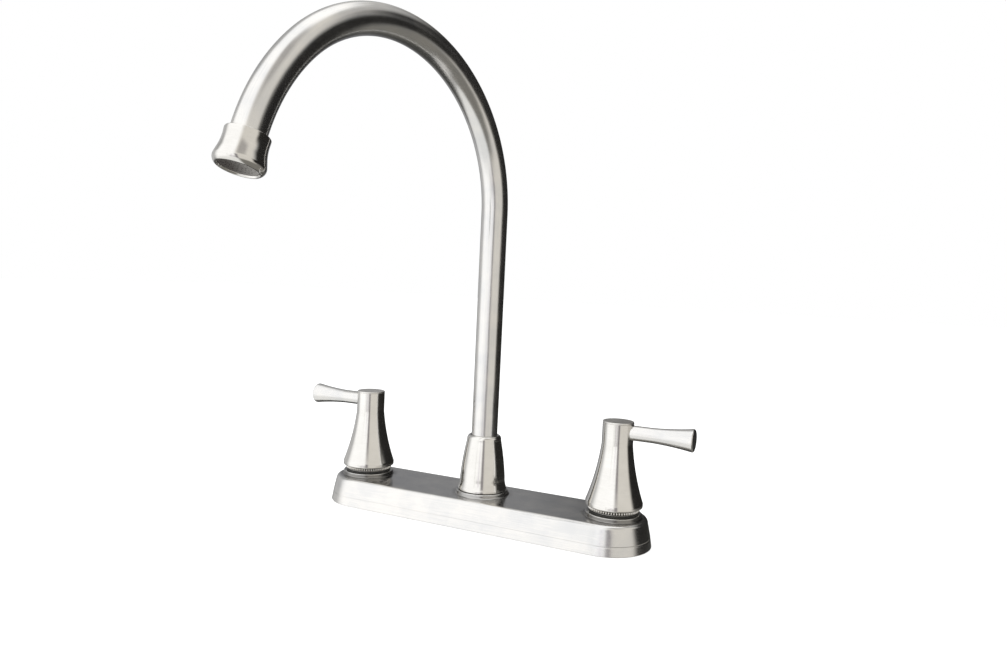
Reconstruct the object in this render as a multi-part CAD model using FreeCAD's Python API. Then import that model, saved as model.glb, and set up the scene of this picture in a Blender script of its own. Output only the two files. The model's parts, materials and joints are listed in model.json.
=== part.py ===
import FreeCAD, Part
import math
import os

from FreeCAD import Placement, Rotation, Vector

# Two handle deck faucet with a turning gooseneck spout. Millimetres.
# Origin: centre of the footprint on the deck. +Z up, front of the faucet towards -Y,
# left handle at -X. Heights are above the deck unless a name says otherwise.

# ---- driving dimensions: deck plate ----
handle_spacing = 203.2          # centre to centre of the two valves
plate_length = 257.2
plate_width = 63.5
plate_height = 19.6
plate_wall = 2.2
lip_height = 5.5                # band round the foot of the plate
lip_lean = 0.9                  # how far the band leans in at its top
lip_step = 0.2                  # how far the wall stands back above the band
lip_cove = 1.4                  # height of the hollow between band and wall
wall_draft = 12.5               # degrees, lean of the plate's side wall
plate_edge_radius = 3.3
boss_height = 2.9
boss_radius = 19.4
boss_edge_radius = 0.9

# ---- driving dimensions: under the plate ----
gasket_thickness = 1.5
pan_thickness = 2.5
pan_rib_height = 5.0
pan_rib_width = 1.4
shank_radius = 10.4775          # half inch straight pipe thread, over its crests
shank_length = 56.0             # below the deck
shank_bore_radius = 6.0
supply_thread_length = 14.5
thread_relief_width = 1.5
thread_relief_depth = 1.0
clamped_deck_thickness = 20.0
washer_radius = 21.0
washer_thickness = 2.0
nut_height = 13.0
nut_body_radius = 15.0
nut_wing_radius = 25.0
nut_wing_width = 6.0
nut_wing_count = 4
nut_wing_turn = 45.0             # degrees from the handle's line to the first wing
nut_wing_trim = 1.0

# ---- driving dimensions: valve under each handle ----
valve_flange_radius = 16.5
valve_flange_thickness = 3.0
valve_barrel_radius = 14.5
valve_barrel_top = 30.0
valve_pocket_radius = 11.3
port_height = 12.3              # centre line of the crossover tubes
tube_radius = 4.7625            # three eighths inch crossover tube
tube_wall = 0.9
seat_radius = 4.0
seat_offset = 5.0               # water holes of the discs, off the valve's axis
seat_seal_depth = 1.6
water_hole_radius = 2.6
cartridge_height = 14.0
cartridge_floor = 1.2
cartridge_room_radius = 9.0
cartridge_room_top = 16.0
cartridge_window_radius = 3.5
cartridge_neck_radius = 6.4
cartridge_neck_top = 41.0
disc_thickness = 2.6
disc_gap = 0.05
tang_length = 6.0
tang_width = 3.0
tang_depth = 1.4
stem_radius = 4.0
stem_flange_radius = 8.0
stem_flange_thickness = 1.8
stem_top = 66.0
spline_length = 12.0
spline_depth = 0.4
spline_teeth = 20
stem_seal_height = 25.0
stem_seal_radius = 0.75         # radius of the seal's own round section
bonnet_hex_flats = 24.0
bonnet_head_height = 8.0

# ---- driving dimensions: rings between plate and handle ----
base_ring_radius = 16.7
base_ring_thickness = 1.6
bead_flange_radius = 17.8
bead_flange_thickness = 0.7
bead_band_radius = 17.4
bead_band_height = 1.8
bead_count = 60
bead_depth = 0.55               # under half a bead's width, so that neighbours don't cross

# ---- driving dimensions: handle ----
skirt_radius = 19.7
skirt_corner_radius = 1.6
skirt_rise = 1.3                # from the rounded corner to the start of the flare
flare_mid_radius = 13.95
flare_mid_above_plate = 30.0
neck_radius = 10.7
neck_foot_above_plate = 50.0
handle_top_above_plate = 65.9
hub_wall = 2.2
hub_room_top = 44.0
cap_thickness = 1.2
cap_edge_radius = 0.7
cap_plug_radius = 6.4
cap_plug_length = 3.0
cap_plug_wall = 1.5
lever_above_plate = 58.8
lever_length = 52.1             # from the handle's axis
lever_root_radius = 5.1
lever_tip_radius = 7.7
lever_straight_end = 24.0       # where the root stops being straight
lever_mid_at = 39.0
lever_mid_radius = 6.15
lever_tip_corner = 1.8
lever_stud_radius = 3.5
lever_stud_length = 3.6
screw_radius = 2.0
screw_length = 11.0
screw_head_radius = 4.2
screw_head_height = 3.2
screw_socket_flats = 3.0
screw_socket_depth = 1.8

# ---- driving dimensions: spout foot ----
hub_barrel_radius = 13.8
hub_foot_radius = 15.5
hub_foot_thickness = 2.5
hub_floor = 8.0
hub_top = 31.8
spigot_radius = 8.95            # spout's end fitting, where it turns in the hub
spigot_foot = 18.2
spigot_bore_radius = 6.4
groove_depth = 1.85
snap_ring_groove_depth = 1.0
groove_width = 2.2
lower_groove_height = 20.5
upper_groove_height = 25.5
snap_ring_width = 3.2
snap_ring_thickness = 1.1
snap_ring_opening = 50.0        # degrees
tube_foot = 35.0
fitting_engagement = 12.0
bearing_top = 54.0
collar_ring_radius = 16.5
collar_ring_thickness = 0.8
collar_foot_radius = 18.0
collar_foot_rise = 0.9
collar_foot_mid_radius = 17.15
collar_foot_mid_above_plate = 7.2
collar_cone_radius = 16.6
collar_cone_foot_above_plate = 12.0
collar_mid_radius = 15.2
collar_mid_above_plate = 25.0
collar_shoulder_radius = 12.6
collar_shoulder_above_plate = 40.0
collar_top_above_plate = 43.6
collar_round_radius = 12.1      # a point on the rounded top edge
collar_round_above_plate = 42.5
collar_rim_radius = 10.9
collar_throat_radius = 11.6

# ---- driving dimensions: spout ----
spout_radius = 9.525
spout_wall = 1.0
spout_turn = 11.1               # degrees left of straight ahead, as it stands
riser_top = 225.1
bend_radius = 104.0
bend_sweep = 134.2              # degrees
lead_out_radius = 127.9         # gentler bend towards the outlet
lead_out_sweep = 28.7           # degrees
bell_collar_radius = 11.9
bell_collar_edge = 0.9
bell_collar_end = 1.6
bell_waist_radius = 11.85
bell_waist_at = 6.0
bell_flare_radius = 12.6
bell_flare_at = 11.0
bell_lip_radius = 13.65
bell_swell_radius = 13.15       # between flare and lip
bell_swell_at = 13.2
bell_lip_at = 15.5
bell_lip_edge_radius = 11.2
bell_length = 19.4
bell_lip_round_radius = 12.7    # a point on the lip's rounded edge
bell_lip_round_at = 18.3
socket_depth = 8.0
ledge_thickness = 1.2
ledge_radius = 8.2
aerator_pocket_radius = 10.6
aerator_washer_thickness = 1.4
aerator_recess = 0.7
aerator_hole_radius = 0.8
aerator_hole_pitch = 2.6
aerator_hole_rings = 3
aerator_hole_step = 6           # each ring has this many holes more than the last

# ---- clearances ----
running_fit = 0.05              # turning pieces
bearing_fit = 0.08
slip_fit = 0.05                 # pieces that go together and stay
close_fit = 0.025               # a saddle on its neck, a seal in its groove
seal_fit = 0.0125               # spout seals, all round their section
drop_in_fit = 0.1               # pieces laid or screwed in place by hand
cartridge_fit = 0.2             # the cartridge in its pocket
loose_fit = 0.3                 # pieces that must not rub
wide_fit = 0.5
past = 1.0                      # how far a cutter runs past the faces that it cuts

# ---- places worked out from the dimensions above ----
end_spacing = plate_length - plate_width
valve_x = handle_spacing / 2
pan_top = gasket_thickness + pan_thickness
boss_top = plate_height + boss_height
base_ring_top = boss_top + base_ring_thickness
bead_band_foot = base_ring_top + bead_flange_thickness
bead_ring_top = bead_band_foot + bead_band_height
skirt_bottom = bead_ring_top + loose_fit
handle_top = plate_height + handle_top_above_plate
hub_body_top = handle_top - cap_thickness
lever_height = plate_height + lever_above_plate
valve_floor = pan_top + valve_flange_thickness
cartridge_shoulder = valve_floor + cartridge_height
fixed_disc_foot = valve_floor + cartridge_floor
moving_disc_foot = fixed_disc_foot + disc_thickness + disc_gap
moving_disc_top = moving_disc_foot + disc_thickness
stem_bore_radius = stem_radius + running_fit
washer_top = -clamped_deck_thickness
nut_top = washer_top - washer_thickness
screw_hole_radius = screw_radius + slip_fit
hub_counterbore_radius = cap_plug_radius + drop_in_fit
hub_bore_radius = spigot_radius + running_fit
snap_ring_foot = hub_top + wide_fit + drop_in_fit
snap_ring_groove_radius = spigot_radius - snap_ring_groove_depth
bearing_foot = snap_ring_foot + snap_ring_thickness + loose_fit
collar_foot = boss_top + collar_ring_thickness
spout_direction = -(90.0 + spout_turn)
AXIS = Vector(0, 0, 1)
CENTRE = Vector(0, 0, 0)


# ---- outlines and turned solids ----
def flat(radius, height):
    """A point of an outline: distance from the axis and height."""
    return Vector(radius, 0, height)


def straight(*points):
    """Edges that join the points one after another."""
    return [Part.makeLine(a, b) for a, b in zip(points, points[1:])]


def curve(start, middle, end):
    """An arc through three points of an outline."""
    return Part.Arc(start, middle, end).toShape()


def corner(before, point, after, radius):
    """The start, middle and end of an arc that rounds a corner of an outline."""
    back = (before - point).normalize()
    on = (after - point).normalize()
    half = back.getAngle(on) / 2
    inward = (back + on).normalize()
    reach = radius / math.tan(half)
    middle = point + inward * (radius / math.sin(half) - radius)
    return point + back * reach, middle, point + on * reach


def face_of(edges):
    return Part.Face(Part.Wire(Part.__sortEdges__(edges)))


def turned(edges):
    """A full turn of a closed outline about the Z axis."""
    return face_of(edges).revolve(CENTRE, AXIS, 360)


def turned_steps(*points):
    """A full turn of an outline with straight edges only."""
    return turned(straight(*points, points[0]))


def cylinder(radius, foot, top, x=0.0, y=0.0):
    return Part.makeCylinder(radius, top - foot, Vector(x, y, foot), AXIS)


def ring(inner, outer, foot, top):
    return cylinder(outer, foot, top).cut(cylinder(inner, foot - past, top + past))


def cross_hole(radius, length, height):
    """A round cutter along +X from the axis."""
    return Part.makeCylinder(radius, length, Vector(0, 0, height), Vector(1, 0, 0))


def round_seal(centre_radius, section_radius, height):
    return Part.makeTorus(centre_radius, section_radius, Vector(0, 0, height), AXIS)


def round_point(radius, angle, height):
    """A point about the Z axis, at an angle in radians from +X."""
    return Vector(radius * math.cos(angle), radius * math.sin(angle), height)


def hexagon(flats, foot, top):
    """A hexagonal prism across the given flats."""
    reach = flats / math.sqrt(3)
    points = []
    for step in range(7):
        points.append(round_point(reach, math.radians(60 * step), foot))
    return Part.Face(Part.makePolygon(points)).extrude(Vector(0, 0, top - foot))


def toothed(radius, depth, foot, top):
    """A prism with pointed teeth all round, for the spline of the stem."""
    points = []
    for step in range(2 * spline_teeth + 1):
        angle = math.pi * step / spline_teeth
        reach = radius if step % 2 == 0 else radius - depth
        points.append(round_point(reach, angle, foot))
    return Part.Face(Part.makePolygon(points)).extrude(Vector(0, 0, top - foot))


def stadium(edges):
    """The outline carried round a long footprint with fully rounded ends."""
    face = face_of(edges)
    half = end_spacing / 2
    right_end = face.copy()
    right_end.rotate(CENTRE, AXIS, -90)
    right_end = right_end.revolve(CENTRE, AXIS, 180)
    right_end.translate(Vector(half, 0, 0))
    left_end = right_end.mirror(CENTRE, Vector(1, 0, 0))
    front = face.copy()
    front.rotate(CENTRE, AXIS, -90)
    front.translate(Vector(-half, 0, 0))
    front = front.extrude(Vector(end_spacing, 0, 0))
    back = front.mirror(CENTRE, Vector(0, 1, 0))
    return right_end.fuse([left_end, front, back]).removeSplitter()


def stadium_steps(*points):
    return stadium(straight(*points, points[0]))


def slab(half_width, foot, top):
    """An upright sided slab on the same footprint, from foot to top."""
    return stadium_steps(flat(0, foot), flat(half_width, foot), flat(half_width, top), flat(0, top))


def at_valve(shape, side):
    """Moves a shape made on the Z axis to the left (-1) or right (+1) valve.

    The right one is turned half round, so that each valve's +X faces the spout."""
    placed = shape.copy()
    if side > 0:
        placed.rotate(CENTRE, AXIS, 180)
    placed.translate(Vector(side * valve_x, 0, 0))
    return placed


# ---- deck plate and what lies under it ----
def wall_back(height):
    """How far the plate's side wall stands in from its foot, at a height above the band."""
    rise = height - lip_height - lip_cove
    return lip_lean + lip_step + rise * math.tan(math.radians(wall_draft))


def band_back(height):
    """How far the band round the foot stands in, at a height up to its top."""
    return lip_lean * height / lip_height


def plate_outer():
    half = plate_width / 2
    foot = flat(half, 0)
    band_top = flat(half - lip_lean, lip_height)
    wall_foot = flat(half - lip_lean - lip_step, lip_height + lip_cove)
    wall_top = flat(half - wall_back(plate_height), plate_height)
    crown = flat(0, plate_height)
    start, middle, end = corner(wall_foot, wall_top, crown, plate_edge_radius)
    edges = straight(crown, CENTRE, foot, band_top, wall_foot, start)
    edges.append(curve(start, middle, end))
    edges += straight(end, crown)
    return stadium(edges)


def plate_room():
    half = plate_width / 2 - plate_wall
    ceiling = plate_height - plate_wall
    return stadium_steps(
        flat(0, -past),
        flat(half - band_back(-past), -past),
        flat(half - lip_lean, lip_height),
        flat(half - lip_lean - lip_step, lip_height + lip_cove),
        flat(half - wall_back(ceiling), ceiling),
        flat(0, ceiling),
    )


def boss():
    """One low round boss, with a rounded edge, from inside the plate's top."""
    foot = plate_height - plate_wall
    rim = flat(boss_radius, boss_top)
    base = flat(boss_radius, foot)
    crown = flat(0, boss_top)
    start, middle, end = corner(base, rim, crown, boss_edge_radius)
    edges = straight(crown, flat(0, foot), base, start)
    edges.append(curve(start, middle, end))
    edges += straight(end, crown)
    return turned(edges)


def deck_plate():
    shell = plate_outer().cut(plate_room())
    bosses = [boss(), at_valve(boss(), -1), at_valve(boss(), 1)]
    shell = shell.fuse(bosses)
    valve_hole = cylinder(valve_barrel_radius + wide_fit, 0, boss_top + past)
    hub_hole = cylinder(hub_barrel_radius + wide_fit, 0, boss_top + past)
    holes = [hub_hole, at_valve(valve_hole, -1), at_valve(valve_hole, 1)]
    return shell.cut(holes).removeSplitter()


def shank_holes(clearance):
    hole = cylinder(shank_radius + clearance, -past, pan_top + past)
    return [at_valve(hole, -1), at_valve(hole, 1)]


def room_edge(height):
    """Half width of what lies inside the plate's foot, clear of the wall up to a height."""
    return plate_width / 2 - plate_wall - band_back(height) - loose_fit


def putty_plate():
    edge = room_edge(pan_top)
    rib_top = pan_top + pan_rib_height
    rib_edge = plate_width / 2 - plate_wall - wall_back(rib_top) - wide_fit
    inside = rib_edge - pan_rib_width
    floor = slab(edge, gasket_thickness, pan_top)
    rib = slab(rib_edge, pan_top, rib_top).cut(slab(inside, pan_top, rib_top + past))
    return floor.fuse(rib).cut(shank_holes(wide_fit)).removeSplitter()


def deck_gasket():
    sheet = slab(room_edge(pan_top), 0, gasket_thickness)
    return sheet.cut(shank_holes(wide_fit + loose_fit))


def mount_washer():
    return ring(shank_radius + wide_fit, washer_radius, washer_top - washer_thickness, washer_top)


def mount_nut():
    foot = nut_top - nut_height
    body = cylinder(nut_body_radius, foot, nut_top)
    wing = Part.makeBox(
        nut_wing_radius, nut_wing_width, nut_height, Vector(0, -nut_wing_width / 2, foot)
    )
    for step in range(nut_wing_count):
        turned_wing = wing.copy()
        turned_wing.rotate(CENTRE, AXIS, nut_wing_turn + step * 360 / nut_wing_count)
        body = body.fuse(turned_wing)
    body = body.common(cylinder(nut_wing_radius - nut_wing_trim, foot, nut_top))
    return body.cut(cylinder(shank_radius + slip_fit, foot - past, nut_top + past)).removeSplitter()


# ---- valve ----
def water_hole(foot, top, side):
    """A cutter for one water way, on the front (-1) or back (+1) of the valve's axis."""
    return cylinder(water_hole_radius, foot - past, top + past, y=side * seat_offset)


def valve_body():
    relief_top = supply_thread_length + thread_relief_width - shank_length
    relief_foot = supply_thread_length - shank_length
    relief_radius = shank_radius - thread_relief_depth
    body = turned_steps(
        flat(shank_bore_radius, -shank_length),
        flat(shank_radius, -shank_length),
        flat(shank_radius, relief_foot),
        flat(relief_radius, relief_foot),
        flat(relief_radius, relief_top),
        flat(shank_radius, relief_top),
        flat(shank_radius, pan_top),
        flat(valve_flange_radius, pan_top),
        flat(valve_flange_radius, valve_floor),
        flat(valve_barrel_radius, valve_floor),
        flat(valve_barrel_radius, valve_barrel_top),
        flat(valve_pocket_radius, valve_barrel_top),
        flat(valve_pocket_radius, valve_floor),
        flat(0, valve_floor),
        flat(0, pan_top),
        flat(shank_bore_radius, pan_top),
    )
    seat = cylinder(seat_radius, valve_floor - seat_seal_depth, valve_floor + past, y=-seat_offset)
    inlet = water_hole(pan_top, valve_floor, -1)
    port = cross_hole(tube_radius + slip_fit, valve_barrel_radius + past, port_height)
    return body.cut([seat, inlet, port])


def seat_seal():
    foot = valve_floor - seat_seal_depth
    seal = cylinder(seat_radius, foot, valve_floor, y=-seat_offset)
    return seal.cut(water_hole(foot, valve_floor, -1))


def cartridge_body():
    outer = valve_pocket_radius - cartridge_fit
    body = turned_steps(
        flat(0, valve_floor),
        flat(outer, valve_floor),
        flat(outer, cartridge_shoulder),
        flat(cartridge_neck_radius, cartridge_shoulder),
        flat(cartridge_neck_radius, cartridge_neck_top),
        flat(stem_bore_radius, cartridge_neck_top),
        flat(stem_bore_radius, cartridge_room_top),
        flat(cartridge_room_radius, cartridge_room_top),
        flat(cartridge_room_radius, fixed_disc_foot),
        flat(0, fixed_disc_foot),
    )
    inlet = water_hole(valve_floor, fixed_disc_foot, -1)
    outlet = water_hole(valve_floor, fixed_disc_foot, 1)
    window = cross_hole(cartridge_window_radius, outer + past, port_height)
    return body.cut([inlet, outlet, window])


def disc(foot, hole_sides):
    """A ceramic disc with water holes on the given sides of its axis."""
    top = foot + disc_thickness
    plain = cylinder(cartridge_room_radius - drop_in_fit, foot, top)
    return plain.cut([water_hole(foot, top, side) for side in hole_sides])


def fixed_disc():
    return disc(fixed_disc_foot, (-1, 1))


def tang(clearance, foot, top):
    length = tang_length + 2 * clearance
    width = tang_width + 2 * clearance
    return Part.makeBox(length, width, top - foot, Vector(-length / 2, -width / 2, foot))


def moving_disc():
    """Shut at rest: its one water hole lies a quarter turn from the inlet."""
    plain = disc(moving_disc_foot, (1,))
    plain.rotate(CENTRE, AXIS, -90)
    slot = tang(drop_in_fit, moving_disc_top - tang_depth - slip_fit, moving_disc_top + past)
    return plain.cut(slot)


def stem():
    flange_foot = moving_disc_top + slip_fit
    spline_foot = stem_top - spline_length
    groove_radius = stem_radius - 2 * stem_seal_radius
    groove_half = stem_seal_radius + drop_in_fit
    flange_top = flange_foot + stem_flange_thickness
    body = cylinder(stem_flange_radius, flange_foot, flange_top)
    body = body.fuse(cylinder(stem_radius, flange_foot, spline_foot))
    body = body.fuse(toothed(stem_radius, spline_depth, spline_foot, stem_top))
    body = body.fuse(tang(0, moving_disc_top - tang_depth, flange_top))
    low = stem_seal_height - groove_half
    high = stem_seal_height + groove_half
    groove = ring(groove_radius, stem_radius + past, low, high)
    screw_hole = cylinder(screw_hole_radius, stem_top - screw_length - past, stem_top + past)
    return body.cut([groove, screw_hole]).removeSplitter()


def stem_seal():
    centre = stem_radius - stem_seal_radius + close_fit
    return round_seal(centre, stem_seal_radius, stem_seal_height)


def bonnet_nut():
    head_top = valve_barrel_top + bonnet_head_height
    head = hexagon(bonnet_hex_flats, valve_barrel_top, head_top)
    spigot = cylinder(valve_pocket_radius - slip_fit, cartridge_shoulder, valve_barrel_top)
    hole = cylinder(cartridge_neck_radius + drop_in_fit, cartridge_shoulder - past, head_top + past)
    return head.fuse(spigot).cut(hole).removeSplitter()


# ---- rings between plate and handle ----
def base_ring():
    return ring(valve_barrel_radius + loose_fit, base_ring_radius, boss_top, base_ring_top)


def bead_ring():
    """A thin flange under a band of beads; each bead is one round flute."""
    inner = valve_barrel_radius + loose_fit
    flange = ring(inner, bead_flange_radius, base_ring_top, bead_band_foot)
    step = 2 * math.pi / bead_count
    root = bead_band_radius - bead_depth
    corners = []
    crests = []
    for bead in range(bead_count):
        low = (bead - 0.5) * step
        high = bead * step
        corners.append(round_point(root, low, bead_band_foot))
        crests.append(round_point(bead_band_radius, high, bead_band_foot))
    corners.append(corners[0])
    edges = [curve(corners[bead], crests[bead], corners[bead + 1]) for bead in range(bead_count)]
    band = face_of(edges).extrude(Vector(0, 0, bead_band_height))
    band = band.cut(cylinder(inner, bead_band_foot - past, bead_ring_top + past))
    return flange.fuse(band)


# ---- handle ----
def hub_outline(inset, foot, top):
    """The handle hub's outline, moved in by a wall, from foot to top."""
    skirt_side = skirt_bottom + skirt_corner_radius + skirt_rise
    neck_foot = plate_height + neck_foot_above_plate
    start = flat(skirt_radius - inset, skirt_side)
    middle = flat(flare_mid_radius - inset, plate_height + flare_mid_above_plate)
    end = flat(neck_radius - inset, neck_foot)
    return start, middle, end, flat(skirt_radius - inset, foot), flat(neck_radius - inset, top)


def handle_hub():
    start, middle, end, rim, neck_top = hub_outline(0, skirt_bottom, hub_body_top)
    floor = flat(0, skirt_bottom)
    round_start, round_middle, round_end = corner(floor, rim, start, skirt_corner_radius)
    edges = straight(flat(0, hub_body_top), floor, round_start)
    edges.append(curve(round_start, round_middle, round_end))
    edges += straight(round_end, start)
    edges.append(curve(start, middle, end))
    edges += straight(end, neck_top, flat(0, hub_body_top))
    body = turned(edges)

    room_foot = skirt_bottom - past
    start, middle, end, rim, neck_top = hub_outline(hub_wall, room_foot, hub_body_top)
    edges = straight(flat(0, hub_body_top), flat(0, room_foot), rim, start)
    edges.append(curve(start, middle, end))
    edges += straight(end, neck_top, flat(0, hub_body_top))
    room = turned(edges).common(cylinder(skirt_radius, room_foot, hub_room_top))

    spline_foot = stem_top - spline_length
    bore = cylinder(stem_bore_radius, hub_room_top - past, spline_foot + slip_fit)
    broach = toothed(stem_bore_radius, spline_depth, spline_foot, stem_top + past)
    counterbore = cylinder(hub_counterbore_radius, stem_top, handle_top)
    stud_hole = Part.makeCylinder(
        lever_stud_radius + slip_fit, neck_radius, Vector(0, 0, lever_height), Vector(-1, 0, 0)
    )
    return body.cut([room, bore, broach, counterbore, stud_hole]).removeSplitter()


def lever():
    """Round lever along -X that swells towards its tip, with a stud at its root."""
    tip_edge = lever_length - lever_tip_corner
    end_radius = lever_tip_radius - lever_tip_corner
    reach = lever_tip_corner * math.sqrt(0.5)
    root = Vector(0, lever_root_radius, 0)
    root_end = Vector(lever_straight_end, lever_root_radius, 0)
    middle = Vector(lever_mid_at, lever_mid_radius, 0)
    tip = Vector(tip_edge, lever_tip_radius, 0)
    tip_round = Vector(tip_edge + reach, end_radius + reach, 0)
    end_edge = Vector(lever_length, end_radius, 0)
    edges = straight(end_edge, Vector(lever_length, 0, 0), CENTRE, root, root_end)
    edges.append(curve(root_end, middle, tip))
    edges.append(curve(tip, tip_round, end_edge))
    body = face_of(edges).revolve(CENTRE, Vector(1, 0, 0), 360)
    body.rotate(CENTRE, AXIS, 180)
    body.translate(Vector(0, 0, lever_height))
    neck_seat = cylinder(neck_radius + close_fit, 0, handle_top + lever_tip_radius)
    stud = Part.makeCylinder(
        lever_stud_radius,
        lever_stud_length + past,
        Vector(lever_stud_length - neck_radius, 0, lever_height),
        Vector(-1, 0, 0),
    )
    return body.cut(neck_seat).fuse(stud).removeSplitter()


def handle_cap():
    rim = flat(neck_radius, handle_top)
    foot = flat(neck_radius, hub_body_top)
    crown = flat(0, handle_top)
    start, middle, end = corner(foot, rim, crown, cap_edge_radius)
    edges = straight(crown, flat(0, hub_body_top), foot, start)
    edges.append(curve(start, middle, end))
    edges += straight(end, crown)
    plug = ring(
        cap_plug_radius - cap_plug_wall, cap_plug_radius, hub_body_top - cap_plug_length, hub_body_top
    )
    return turned(edges).fuse(plug).removeSplitter()


def handle_screw():
    top = stem_top + screw_head_height
    body = cylinder(screw_head_radius, stem_top, top)
    body = body.fuse(cylinder(screw_radius, stem_top - screw_length, stem_top))
    return body.cut(hexagon(screw_socket_flats, top - screw_socket_depth, top + past)).removeSplitter()


# ---- spout foot ----
def spout_hub():
    body = turned_steps(
        flat(0, pan_top),
        flat(hub_foot_radius, pan_top),
        flat(hub_foot_radius, pan_top + hub_foot_thickness),
        flat(hub_barrel_radius, pan_top + hub_foot_thickness),
        flat(hub_barrel_radius, hub_top),
        flat(hub_bore_radius, hub_top),
        flat(hub_bore_radius, hub_floor),
        flat(0, hub_floor),
    )
    port = cross_hole(tube_radius + slip_fit, hub_barrel_radius + past, port_height)
    other_port = port.mirror(CENTRE, Vector(1, 0, 0))
    return body.cut([port, other_port])


def crossover_tube():
    """From the wall of a valve, made at the origin, to the wall of the hub."""
    start = (valve_pocket_radius + valve_barrel_radius) / 2
    end = valve_x - (hub_bore_radius + hub_barrel_radius) / 2
    root = Vector(start, 0, port_height)
    outer = Part.makeCylinder(tube_radius, end - start, root, Vector(1, 0, 0))
    inner = Part.makeCylinder(tube_radius - tube_wall, end - start, root, Vector(1, 0, 0))
    return outer.cut(inner)


def collar_ring():
    return ring(hub_barrel_radius + loose_fit, collar_ring_radius, boss_top, collar_foot)


def spout_collar():
    foot = flat(collar_foot_radius, collar_foot)
    foot_top = flat(collar_foot_radius, collar_foot + collar_foot_rise)
    foot_mid = flat(collar_foot_mid_radius, plate_height + collar_foot_mid_above_plate)
    cone_foot = flat(collar_cone_radius, plate_height + collar_cone_foot_above_plate)
    cone_mid = flat(collar_mid_radius, plate_height + collar_mid_above_plate)
    shoulder = flat(collar_shoulder_radius, plate_height + collar_shoulder_above_plate)
    top = plate_height + collar_top_above_plate
    rim = flat(collar_rim_radius, top)
    top_round = flat(collar_round_radius, plate_height + collar_round_above_plate)
    mouth = flat(spout_radius + loose_fit, top)
    throat_top = bearing_top + loose_fit
    thread_radius = hub_barrel_radius + slip_fit
    thread_top = hub_top + drop_in_fit
    edges = straight(foot, foot_top)
    edges.append(curve(foot_top, foot_mid, cone_foot))
    edges.append(curve(cone_foot, cone_mid, shoulder))
    edges.append(curve(shoulder, top_round, rim))
    edges += straight(
        rim,
        mouth,
        flat(spout_radius + loose_fit, throat_top),
        flat(collar_throat_radius, throat_top),
        flat(collar_throat_radius, thread_top),
        flat(thread_radius, thread_top),
        flat(thread_radius, collar_foot),
        foot,
    )
    return turned(edges)


def spout_bearing():
    return ring(spout_radius + bearing_fit, collar_throat_radius - slip_fit, bearing_foot, bearing_top)


def spout_end_fitting():
    groove_radius = spigot_radius - groove_depth
    ring_top = snap_ring_foot + snap_ring_thickness + slip_fit
    tube_seat_radius = spout_radius - slip_fit
    shoulder_foot = bearing_foot + slip_fit
    body = turned_steps(
        flat(spigot_bore_radius, spigot_foot),
        flat(spigot_radius, spigot_foot),
        flat(spigot_radius, shoulder_foot),
        flat(tube_seat_radius, shoulder_foot),
        flat(tube_seat_radius, tube_foot),
        flat(spout_radius - spout_wall - slip_fit, tube_foot),
        flat(spout_radius - spout_wall - slip_fit, tube_foot + fitting_engagement),
        flat(spigot_bore_radius, tube_foot + fitting_engagement),
    )
    cuts = []
    for height in (lower_groove_height, upper_groove_height):
        cuts.append(ring(groove_radius, spigot_radius + past, height, height + groove_width))
    cuts.append(ring(snap_ring_groove_radius, spigot_radius + past, snap_ring_foot - slip_fit, ring_top))
    return body.cut(cuts)


def spout_seals():
    section = groove_depth / 2 - seal_fit
    centre = spigot_radius - groove_depth / 2
    seals = []
    for height in (lower_groove_height, upper_groove_height):
        seals.append(round_seal(centre, section, height + groove_width / 2))
    return Part.makeCompound(seals)


def spout_snap_ring():
    inner = snap_ring_groove_radius + slip_fit
    whole = ring(inner, inner + snap_ring_width, snap_ring_foot, snap_ring_foot + snap_ring_thickness)
    foot = snap_ring_foot - past
    reach = 2 * (inner + snap_ring_width)
    half = math.radians(snap_ring_opening / 2)
    apex = Vector(0, 0, foot)
    wedge = Part.makePolygon([apex, round_point(reach, half, foot), round_point(reach, -half, foot), apex])
    return whole.cut(Part.Face(wedge).extrude(AXIS * (snap_ring_thickness + 2 * past)))


# ---- spout ----
def to_spout(shape):
    """Turns a shape made in the XZ plane, outlet towards +X, to where the spout stands."""
    placed = shape.copy()
    placed.rotate(CENTRE, AXIS, spout_direction)
    return placed


def bell_place():
    """Where the outlet bell starts on the spout's centre line, and which way it points."""
    first = math.radians(bend_sweep)
    whole = math.radians(bend_sweep + lead_out_sweep)
    bend_centre = Vector(bend_radius, 0, riser_top)
    bend_end = bend_centre + Vector(-math.cos(first), 0, math.sin(first)) * bend_radius
    lead_centre = bend_end + Vector(math.cos(first), 0, -math.sin(first)) * lead_out_radius
    end = lead_centre + Vector(-math.cos(whole), 0, math.sin(whole)) * lead_out_radius
    direction = Vector(math.sin(whole), 0, math.cos(whole))
    return bend_centre, lead_centre, end, direction


def round_bar(radius):
    """The spout's centre line as a round bar: riser, bend, lead-out and the end in the bell."""
    bend_centre, lead_centre, end, direction = bell_place()
    across = Vector(0, 1, 0)
    riser_disc = Part.Face(Part.Wire(Part.makeCircle(radius, Vector(0, 0, tube_foot), AXIS)))
    riser = riser_disc.extrude(Vector(0, 0, riser_top - tube_foot))
    bend_disc = Part.Face(Part.Wire(Part.makeCircle(radius, Vector(0, 0, riser_top), AXIS)))
    bend = bend_disc.revolve(bend_centre, across, bend_sweep)
    lead_disc = bend_disc.copy()
    lead_disc.rotate(bend_centre, across, bend_sweep)
    lead = lead_disc.revolve(lead_centre, across, lead_out_sweep)
    tail = Part.makeCylinder(radius, socket_depth, end, direction)
    return riser.fuse([bend, lead, tail])


def spout_tube():
    return to_spout(round_bar(spout_radius).cut(round_bar(spout_radius - spout_wall)))


def to_outlet(shape):
    """Places a shape made along +Z on the spout's end, pointing out of the outlet."""
    placed = shape.copy()
    end, direction = bell_place()[2:]
    placed.Placement = Placement(end, Rotation(AXIS, direction)).multiply(placed.Placement)
    return to_spout(placed)


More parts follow.
